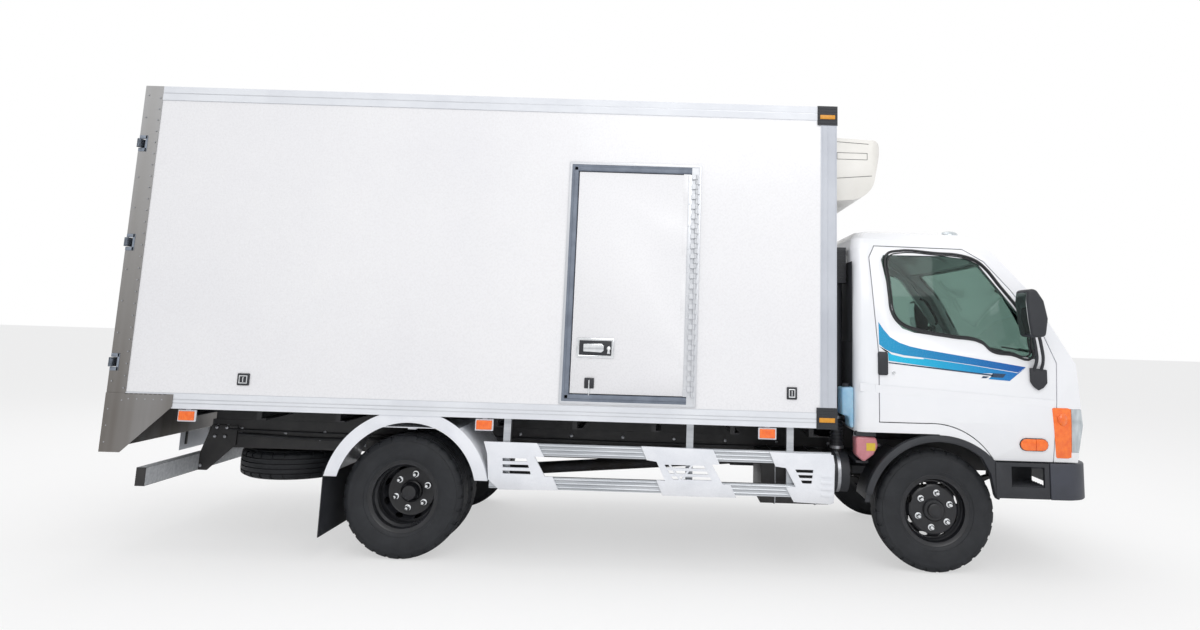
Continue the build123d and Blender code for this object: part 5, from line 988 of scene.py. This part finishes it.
for side, sideName in sides:
    node = f"rear_{sideName}_door"
    leafPart = cutBy(mergedCopy(node), (rearEdge["leafX"], 0, 0), (-1, 0, 0))
    leafPart = cutBy(leafPart, (0, side * rearEdge["leafY"], 0), (0, side, 0))
    finishPiece(softenEdges(leafPart, 0.003, 2, 30), f"rearLeaf{sideName.title()}", gelcoat, replaces=(node,),
                body=node)
    blades = cutBy(mergedCopy(node), (rearEdge["gearX"], 0, 0), (1, 0, 0))
    edges = cutBy(mergedCopy(node), (0, side * rearEdge["gearY"], 0), (0, side, 0), keepInner=False)
    gear = [blades, edges]
    for z in rearEdge["hinges"]:
        for y in (0.74, 0.82, 0.92):
            gear.append(spinProfile([(0.0, 0.009), (-0.004, 0.007), (-0.006, 0.0001)],
                                    (-3.0948, side * y, z), "X", 10))
    for z in (1.30, 1.90, 2.50):
        gear.append(addBlock((-3.112, side * 0.150 - 0.030, z - 0.018),
                             (-3.084, side * 0.150 + 0.030, z + 0.018), 0.004))
    gear.append(addBlock((-3.124, side * 0.150 - 0.016, 1.145), (-3.102, side * 0.150 + 0.016, 1.200), 0.004))
    gear.append(addTube([(-3.114, side * 0.150, 1.172), (-3.118, side * 0.230, 1.160),
                         (-3.118, side * 0.330, 1.165), (-3.118, side * 0.420, 1.170)], 0.010))
    gear.append(addBlock((-3.110, side * 0.385 - 0.035, 1.140), (-3.084, side * 0.385 + 0.035, 1.200), 0.005))
    finishPiece(gear, f"rearHardware{sideName.title()}", hingeSteel, body=node)
    y0, y1 = side * 0.012, side * 0.968
    seal = addTube([(-3.0835, y0, 1.000), (-3.0835, y1, 1.000), (-3.0835, y1, 2.858), (-3.0835, y0, 2.858)],
                   0.009, closed=True, smooth=False)
    finishPiece(seal, f"rearSeal{sideName.title()}", windowRubber, body=node)

# Fixed halves of the rear hinges, flush in the posts' notches
fixedLeaves = []
for z in rearEdge["hinges"]:
    fixedLeaves += [addBlock((-3.1285, -1.0590, z + low), (-3.0755, -1.0450, z + high), 0.0015)
                    for low, high in ((-0.0535, -0.0305), (0.0305, 0.0535))]
    fixedLeaves.append(addBlock((-3.0880, -1.0590, z - 0.0535), (-3.0752, -1.0450, z + 0.0535), 0.0015))
bothSides(fixedLeaves, "rearHingeLeaves", hingeSteel)

# Lamps of the box: three-part tail lamps in the pockets, orange markers in light bezels along the sides
tail = {"y": 0.760, "z": 0.7665, "half": 0.164, "halfHeight": 0.054, "x": (-3.1285, -3.1005)}
tailParts = [(-0.164, -0.060, redLens), (-0.058, 0.050, orangeLens), (0.052, 0.110, clearLens),
             (0.112, 0.164, redLens)]
tailBase = [addBlock((tail["x"][1], side * tail["y"] - tail["half"], tail["z"] - tail["halfHeight"]),
                     (-3.098, side * tail["y"] + tail["half"], tail["z"] + tail["halfHeight"]), 0.002)
            for side in (1, -1)]
markers = {"x": (-2.621, -0.760, 1.013), "z": 0.850}
for x in markers["x"]:
    for side in (1, -1):
        low, high = sorted((side * 1.0405, side * 1.028))
        tailBase.append(addBlock((x - 0.057, low, markers["z"] - 0.036),
                                 (x + 0.057, high, markers["z"] + 0.036), 0.004))
        low, high = sorted((side * 1.030, side * 1.022))
        tailBase.append(addBlock((x - 0.015, low, markers["z"]), (x + 0.015, high, 0.893), 0.001))
finishPiece(tailBase, "lampBases", powderCoat, replaces=("body_lamps",))
lenses = {orangeLens: [], redLens: [], clearLens: []}
for start, end, finish in tailParts:
    for side in (1, -1):
        low, high = sorted((side * (tail["y"] - start), side * (tail["y"] - end)))
        lensHalf = tail["halfHeight"] - 0.001
        lens = addBlock((tail["x"][0], low, tail["z"] - lensHalf), (tail["x"][1], high, tail["z"] + lensHalf),
                        0.005, 3)
        lenses[finish].append(lens)
for x in markers["x"]:
    for side in (1, -1):
        low, high = sorted((side * 1.0490, side * 1.0390))
        lenses[orangeLens].append(addBlock((x - 0.049, low, markers["z"] - 0.028),
                                           (x + 0.049, high, markers["z"] + 0.028), 0.004, 3))
        low, high = sorted((side * 1.0500, side * 1.0480))
        lenses[orangeLens] += [addBlock((x - 0.045 + 0.012 * i, low, markers["z"] - 0.024),
                                        (x - 0.039 + 0.012 * i, high, markers["z"] + 0.024), 0.0)
                               for i in range(8)]
finishPiece(lenses[orangeLens], "orangeLenses", orangeLens, replaces=("body_lamps",))
finishPiece(lenses[redLens], "redLenses", redLens)
finishPiece(lenses[clearLens], "clearLenses", lampGlass)
plate = addBlock((-3.119, -0.230, 0.505), (-3.115, 0.230, 0.628), 0.002)
plateStays = [addBlock((-3.115, y - 0.012, 0.540), (-3.108, y + 0.012, 0.700), 0.001) for y in (-0.16, 0.16)]
finishPiece(plate, "blankPlate", powderCoat)
finishPiece(plateStays, "plateStays", chassisPaint)
print("rear is on")

# Side guards: three ribs along each rail, bolt heads on the posts
guard = {"x0": -0.710, "x1": 1.415, "rails": (0.671, 0.471), "ribs": (0.0135, 0.037, 0.0605),
         "radius": 0.0078, "posts": (-0.620, 0.530, 1.161)}
beads = [addRod((guard["x0"], -1.0262, z + rib), (guard["x1"], -1.0262, z + rib), guard["radius"], 12)
         for z in guard["rails"] for rib in guard["ribs"]]
bothSides(beads, "guardRibs", guardAluminium)
bothSides(addCaps([(x, 1.0335, z + 0.037) for x in guard["posts"] for z in guard["rails"]], 0.009, 0.005),
          "guardBolts", zincPlate)

# Chassis: bolts on the rails, pipes and cables along them, U-bolts round the springs
chassis = {"rearBolts": [(-1.489, .709), (-1.419, .711), (-1.488, .655), (-1.421, .657), (-1.322, .697),
                         (-1.323, .66), (-1.014, .674), (-.74, .687), (-.768, .638)],
           "pitch": 0.36, "pairs": 11, "radius": 0.012, "height": 0.010}
boltSpots = [(rearAxleX + x, 0.3995, z) for x, z in chassis["rearBolts"]]
boltSpots += [(rearAxleX - 0.45 + chassis["pitch"] * i, 0.3995, z) for i in range(chassis["pairs"])
              for z in (0.715, 0.605)]
bothSides(addCaps(boltSpots, chassis["radius"], chassis["height"]), "railBolts", zincPlate)
pipeRuns = [addTube([(-2.70, -0.411, 0.690), (-1.9, -0.4105, 0.680), (-0.9, -0.4105, 0.690),
                     (0.4, -0.4105, 0.682), (1.6, -0.4105, 0.690), (2.3, -0.4105, 0.685)], 0.0055),
            addTube([(-2.60, -0.418, 0.660), (-2.0, -0.414, 0.642), (-1.55, -0.414, 0.655),
                     (-0.6, -0.414, 0.648), (0.5, -0.414, 0.655)], 0.010)]
finishPiece(pipeRuns, "railPipes", windowRubber)
uBolts = []
for axleX, top, foot in ((rearAxleX, 0.560, 0.330), (frontAxleX, 0.520, 0.330)):
    for y in (-0.363, 0.363):
        for x in (axleX - 0.062, axleX + 0.062):
            uBolts.append(addTube([(x, y - 0.043, foot), (x, y - 0.043, top - 0.01), (x, y - 0.033, top),
                                   (x, y + 0.033, top), (x, y + 0.043, top - 0.01), (x, y + 0.043, foot)],
                                  0.009, smooth=False))
        uBolts.append(addBlock((axleX - 0.090, y - 0.060, foot + 0.012),
                               (axleX + 0.090, y + 0.060, foot + 0.028), 0.003))
finishPiece(uBolts, "springClamps", castIron)
bar = addBlock((-2.9262, -0.9895, 0.4085), (-2.8638, 0.9895, 0.5222), 0.006, 3)
finishPiece(bar, "underrunBar", galvanised)
ends = [addBlock((-2.921, side * 0.9885 - 0.0012, 0.4135), (-2.869, side * 0.9885 + 0.0012, 0.517), 0.001)
        for side in (1, -1)]
finishPiece(ends, "underrunEnds", zincPlate)
dropSpots = atY(0.4145, [(-2.760, .700), (-2.700, .640), (-2.690, .700), (-2.770, .640), (-2.875, .480),
                         (-2.850, .440)])
bothSides(addCaps(dropSpots, 0.012, 0.008), "dropPlateBolts", zincPlate)

# Spare wheel lying under the rear of the frame, on its carrier
spare = {"x": -2.355, "z": 0.440, "steps": 72}
spareSpot = (spare["x"], 0, spare["z"])
spareTyre = copyOf(tyreMaster, Matrix.Translation(spareSpot) @ Matrix.Rotation(math.radians(90), 4, "X"))
finishPiece(spareTyre, "spareTyre", tyreRubber, 40, replaces=("spare_wheel",))
spareRim = [spinProfile(points, spareSpot, "Z", spare["steps"], closed=True)
            for points in (barrel, [(a - 0.02, r) for a, r in frontDisc])]
finishPiece(spareRim, "spareRim", wheelPaint, 30, replaces=("spare_wheel",))
carrier = [addBlock((spare["x"] - 0.030, -0.392, 0.568), (spare["x"] + 0.030, 0.392, 0.597), 0.004),
           addRod((spare["x"], 0, 0.350), (spare["x"], 0, 0.585), 0.022, 20),
           addBlock((spare["x"] - 0.060, -0.060, 0.452), (spare["x"] + 0.060, 0.060, 0.474), 0.006)]
finishPiece(carrier, "spareCarrier", chassisPaint, replaces=("spare_wheel",))
bpy.data.objects.remove(tyreMaster)
print("chassis is dressed")

# Behind the cab: snorkel, bellows clamp, round cleaner, washer tank and coolant bottle
dressedCopy("air_intake", 0.004, 2, 30)
clampRing = [(-0.009, 0.0455), (-0.009, 0.0475), (0.009, 0.0475), (0.009, 0.0455)]
bands = [spinProfile(clampRing, (1.513, -0.720, z), "Z", 32, closed=True) for z in (0.742, 0.935)]
bands.append(spinProfile([(-0.010, 0.125), (-0.010, 0.1285), (0.010, 0.1285), (0.010, 0.125)],
                         (1.500, -0.760, 0.590), "X", 56, closed=True))
finishPiece(bands, "intakeClamps", zincPlate)
louvres = [addBlock((1.470, -0.8015, 1.85 + 0.024 * i), (1.556, -0.7990, 1.859 + 0.024 * i), 0.0)
           for i in range(8)]
louvres += [addBlock((1.470, -0.8030, 1.842 + 0.024 * i), (1.556, -0.7990, 1.846 + 0.024 * i), 0.0)
            for i in range(9)]
finishPiece(louvres, "snorkelLouvres", windowRubber)
washer = addPlate(atY(-0.945, [(1.500, 1.140), (1.578, 1.146), (1.578, 0.888), (1.552, 0.892), (1.545, 0.960),
                               (1.500, 0.970)]), (0, 0.140, 0), 0.014, 3)
finishPiece(washer, "washerTank", washerBlue, 40, replaces=("fluid_bottles",))
coolant = addPlate(atY(-0.950, [(1.590, 0.842), (1.720, 0.836), (1.732, 0.780), (1.704, 0.727),
                                (1.640, 0.680), (1.590, 0.724)]), (0, 0.110, 0), 0.016, 3)
finishPiece(coolant, "coolantBottle", coolantPink, 40, replaces=("fluid_bottles",))
label = addBlock((1.655, -0.9515, 0.752), (1.712, -0.9490, 0.800), 0.001)
finishPiece(label, "coolantLabel", yellowLabel)


def screwCap(radius, height, spot):  # a chamfered cap with its foot at the spot
    return spinProfile([(0.0, 0.0001), (0.0, radius), (height - 0.004, radius - 0.001),
                        (height, radius - 0.006), (height, 0.0001)], spot, "Z", 24)


finishPiece(screwCap(0.026, 0.026, (1.610, -0.900, 0.838)), "coolantCap", powderCoat)
washerCap = screwCap(0.024, 0.024, (1.540, -0.880, 1.140))
holders = [addBlock((1.600, -0.900, 0.668), (1.680, -0.400, 0.684), 0.003),
           addBlock((1.560, -0.860, 0.900), (1.600, -0.820, 0.930), 0.003), washerCap]
finishPiece(holders, "bottleHolders", grainedPlastic)
finishPiece(screwCap(0.030, 0.022, (1.335, -0.850, 0.693)), "fillerCap", redPlastic)
dressedCopy("fuel_tank", 0.004, 2, 30)
strapPath = [(-0.435, 0.697), (-0.600, 0.6975), (-0.840, 0.6975), (-0.883, 0.688), (-0.8925, 0.650),
             (-0.8925, 0.440), (-0.883, 0.402), (-0.840, 0.3935)]
straps = [addTube([(x, y, z) for y, z in strapPath], 0.004, smooth=False) for x in (1.085, 1.345)]
finishPiece(straps, "tankStraps", zincPlate)
# Dark sheets on the cab's back wall: painted shade for the wall that lies in shadow behind the cab
backWallShadeSheets = [addBlock((1.5762, -0.900, 0.895), (1.5795, 0.900, 1.432), 0.0012),
        addBlock((1.5762, -0.900, 1.430), (1.5795, -0.468, 1.960), 0.0012),
        addBlock((1.5762, 0.468, 1.430), (1.5795, 0.900, 1.960), 0.0012)]
finishPiece(backWallShadeSheets, "cabBackWallShade", grainedPlastic)
print("gear behind the cab is on")

# Cooling unit: air slats on its front and the seam of its side cover; the dark lines along its top edge
# and lower lip are painted shade
unit = {"slats": 8, "z0": 2.552, "pitch": 0.0205, "height": 0.010, "halfWidth": 0.62}
slats = []
for index in range(unit["slats"]):
    z = unit["z0"] + unit["pitch"] * index
    x = 1.745 + (z - 2.535) / 0.19 * 0.04
    slats.append(addBlock((x - 0.006, -unit["halfWidth"], z),
                          (x + 0.0015, unit["halfWidth"], z + unit["height"]), 0.001, 1))
finishPiece(slats, "unitSlats", grainedPlastic)
unitSeamAndEdgeShade = [addRing((1.484, 2.654, 1.692, 2.702), -0.8695, 0.0030, -0.0015, 0.0)]
# Dark lines along the top edge and the lower lip: painted shade
unitSeamAndEdgeShade += [addTube([(1.448, y, rearZ), (x, y, z)], radius, smooth=False)
             for y, rearZ, x, z, radius in ((-0.8700, 2.778, 1.700, 2.765, 0.0018),
                                            (-0.8700, 2.520, 1.722, 2.545, 0.0018),
                                            (-0.8660, 2.7985, 1.715, 2.786, 0.0030))]
bothSides(unitSeamAndEdgeShade, "unitSeamsAndEdgeShade", windowRubber)

# Cab interior: stitched seats, steering wheel, grab handles
seatRows = [(0.520, 0.505), (0.0, 0.385), (-0.520, 0.505)]
seatBases = []
for index, (y, width) in enumerate(seatRows):
    half = width / 2
    seatBases.append(addBlock((1.720, y - half + 0.03, 0.921), (2.150, y + half - 0.03, 1.080), 0.012))
    cushion = addBlock((1.770, y - half, 1.075), (2.230, y + half, 1.215), 0.045, 4)
    crown = addBlock((1.800, y - half + 0.07, 1.150), (2.190, y + half - 0.07, 1.236), 0.035, 4)
    lean = Matrix.Translation((1.775, y, 1.190)) @ Matrix.Rotation(math.radians(-7.5), 4, "Y")
    back = addBlock((-0.055, -half + 0.006, 0.0), (0.050, half - 0.006, 0.520), 0.042, 4)
    back.data.transform(lean)
    panel = addBlock((0.010, -half + 0.085, 0.05), (0.064, half - 0.085, 0.460), 0.026, 4)
    panel.data.transform(lean)
    headPad = addBlock((-0.040, -0.120, 0.535), (0.036, 0.120, 0.625), 0.030, 4)
    headPad.data.transform(lean)
    piping = addTube([(1.80, y - half + 0.02, 1.208), (2.215, y - half + 0.02, 1.208),
                      (2.215, y + half - 0.02, 1.208), (1.80, y + half - 0.02, 1.208)], 0.0045, smooth=False)
    seat = finishPiece([cushion, crown, back, panel, headPad, piping], f"seat{index + 1}", seatCloth, 45,
                       replaces=("seats",))
finishPiece(seatBases, "seatBases", cabinPlastic, replaces=("seats",))
wheelCentre, columnFoot = Vector((2.445, 0.520, 1.400)), Vector((2.755, 0.520, 1.150))
downColumn = (columnFoot - wheelCentre).normalized()
startPiece()
bpy.ops.mesh.primitive_torus_add(major_radius=0.205, minor_radius=0.0145, major_segments=64,
                                 minor_segments=12)
steeringRim = bpy.context.object
boss = spinProfile([(0.022, 0.0001), (0.022, 0.045), (0.012, 0.058), (-0.008, 0.060), (-0.014, 0.050),
                    (-0.018, 0.0001)], (0, 0, 0), "Z", 36)
spokes = [addBlock((-0.198, -0.014, -0.002), (0.198, 0.014, 0.010), 0.004),
          addBlock((-0.014, -0.198, -0.002), (0.014, 0.0, 0.010), 0.004)]
steering = joined([steeringRim, boss] + spokes)
alongColumn = downColumn.to_track_quat("Z", "X").to_matrix().to_4x4()
steering.data.transform(Matrix.Translation(wheelCentre) @ alongColumn)
column = addRod(wheelCentre + downColumn * 0.01, columnFoot, 0.026, 24)
finishPiece([steering, column], "steeringWheel", cabinPlastic, 40, replaces=("steering_wheel",))
dressedCopy("dashboard", 0.018, 3, 30)
grab = addTube([(2.565, -0.805, 1.800), (2.600, -0.790, 1.785), (2.665, -0.790, 1.690),
                (2.705, -0.800, 1.610), (2.705, -0.825, 1.585)], 0.011)
bothSides(grab, "grabHandles", cabinPlastic)
print("cab is furnished")

# Camera, floor and light
camera = {"eye": (0.3524, -6.1959, 1.4919), "yaw": -0.001, "pitch": 0.1468, "roll": 0.031,
          "focalPixels": 800, "centreX": 669.58, "centreY": 208.52, "width": 1200, "height": 630}
yaw, pitch, roll = camera["yaw"], camera["pitch"], camera["roll"]
ahead = Vector((-math.sin(yaw) * math.cos(pitch), math.cos(yaw) * math.cos(pitch), math.sin(pitch)))
right = Vector((math.cos(yaw), math.sin(yaw), 0))
up = right.cross(ahead)
tiltedRight = math.cos(roll) * right + math.sin(roll) * up
tiltedUp = -math.sin(roll) * right + math.cos(roll) * up
lens = bpy.data.cameras.new("camera")
lens.sensor_fit = "HORIZONTAL"
lens.sensor_width = 36
lens.lens = camera["focalPixels"] / camera["width"] * 36
lens.shift_x = (camera["width"] / 2 - camera["centreX"]) / camera["width"]
lens.shift_y = (camera["centreY"] - camera["height"] / 2) / camera["width"]
viewer = bpy.data.objects.new("camera", lens)
turn = Matrix((tiltedRight, tiltedUp, -ahead)).transposed().to_4x4()
viewer.matrix_world = Matrix.Translation(camera["eye"]) @ turn
bpy.context.scene.collection.objects.link(viewer)
bpy.context.scene.camera = viewer

startPiece()
bpy.ops.mesh.primitive_plane_add(size=120, location=(0, 0, 0))
floor = bpy.context.object
floor.name = "floor"
floorPaint = bpy.data.materials.new("pale studio floor")
floorPaint.use_nodes = True
tree = floorPaint.node_tree
path = addNode(tree, "ShaderNodeLightPath")
glow = addNode(tree, "ShaderNodeEmission", {"Color": (1, 1, 1, 1), "Strength": 1.0})
shader = tree.nodes["Principled BSDF"]
shader.inputs["Base Color"].default_value = paintColour("#f4f4f4")
shader.inputs["Roughness"].default_value = 0.9
share = addNode(tree, "ShaderNodeMath", {"operation": "MULTIPLY", 1: 0.55},
                {0: path.outputs["Is Camera Ray"]})
blend = addNode(tree, "ShaderNodeMixShader", None, {0: share.outputs["Value"], 1: shader.outputs["BSDF"],
                                                    2: glow.outputs["Emission"]})
tree.links.new(blend.outputs["Shader"], tree.nodes["Material Output"].inputs["Surface"])
floor.data.materials.append(floorPaint)

world = bpy.data.worlds.new("studio")
bpy.context.scene.world = world
world.use_nodes = True
tree = world.node_tree
path = addNode(tree, "ShaderNodeLightPath")
plain = addNode(tree, "ShaderNodeBackground", {"Color": (1, 1, 1, 1), "Strength": 1.0})
seen = addNode(tree, "ShaderNodeMath", {"operation": "MAXIMUM"},
               {0: path.outputs["Is Camera Ray"], 1: path.outputs["Is Glossy Ray"]})
seenAll = addNode(tree, "ShaderNodeMath", {"operation": "MAXIMUM"},
                  {0: seen.outputs["Value"], 1: path.outputs["Is Transmission Ray"]})
base = tree.nodes["Background"]
base.inputs["Color"].default_value = paintColour("#fbfbfc")
base.inputs["Strength"].default_value = 0.72
blend = addNode(tree, "ShaderNodeMixShader", None, {0: seenAll.outputs["Value"],
                                                    1: base.outputs["Background"],
                                                    2: plain.outputs["Background"]})
tree.links.new(blend.outputs["Shader"], tree.nodes["World Output"].inputs["Surface"])
# columns: name, place, size, watts
lampRows = [("keyLamp", (1.5, -7.5, 6.5), 6.0, 260), ("topLamp", (-0.5, 0.0, 8.5), 7.0, 170),
            ("backLamp", (-2.0, 7.5, 5.5), 6.0, 160)]
for name, place, size, watts in lampRows:
    lamp = bpy.data.lights.new(name, "AREA")
    lamp.shape = "SQUARE"
    lamp.size = size
    lamp.energy = watts
    holder = bpy.data.objects.new(name, lamp)
    holder.location = place
    holder.rotation_euler = (Vector((0, 0, 1.2)) - Vector(place)).to_track_quat("-Z", "Y").to_euler()
    bpy.context.scene.collection.objects.link(holder)
bpy.context.scene.view_settings.view_transform = "Standard"
print("camera and light are set")

bpy.context.view_layer.update()
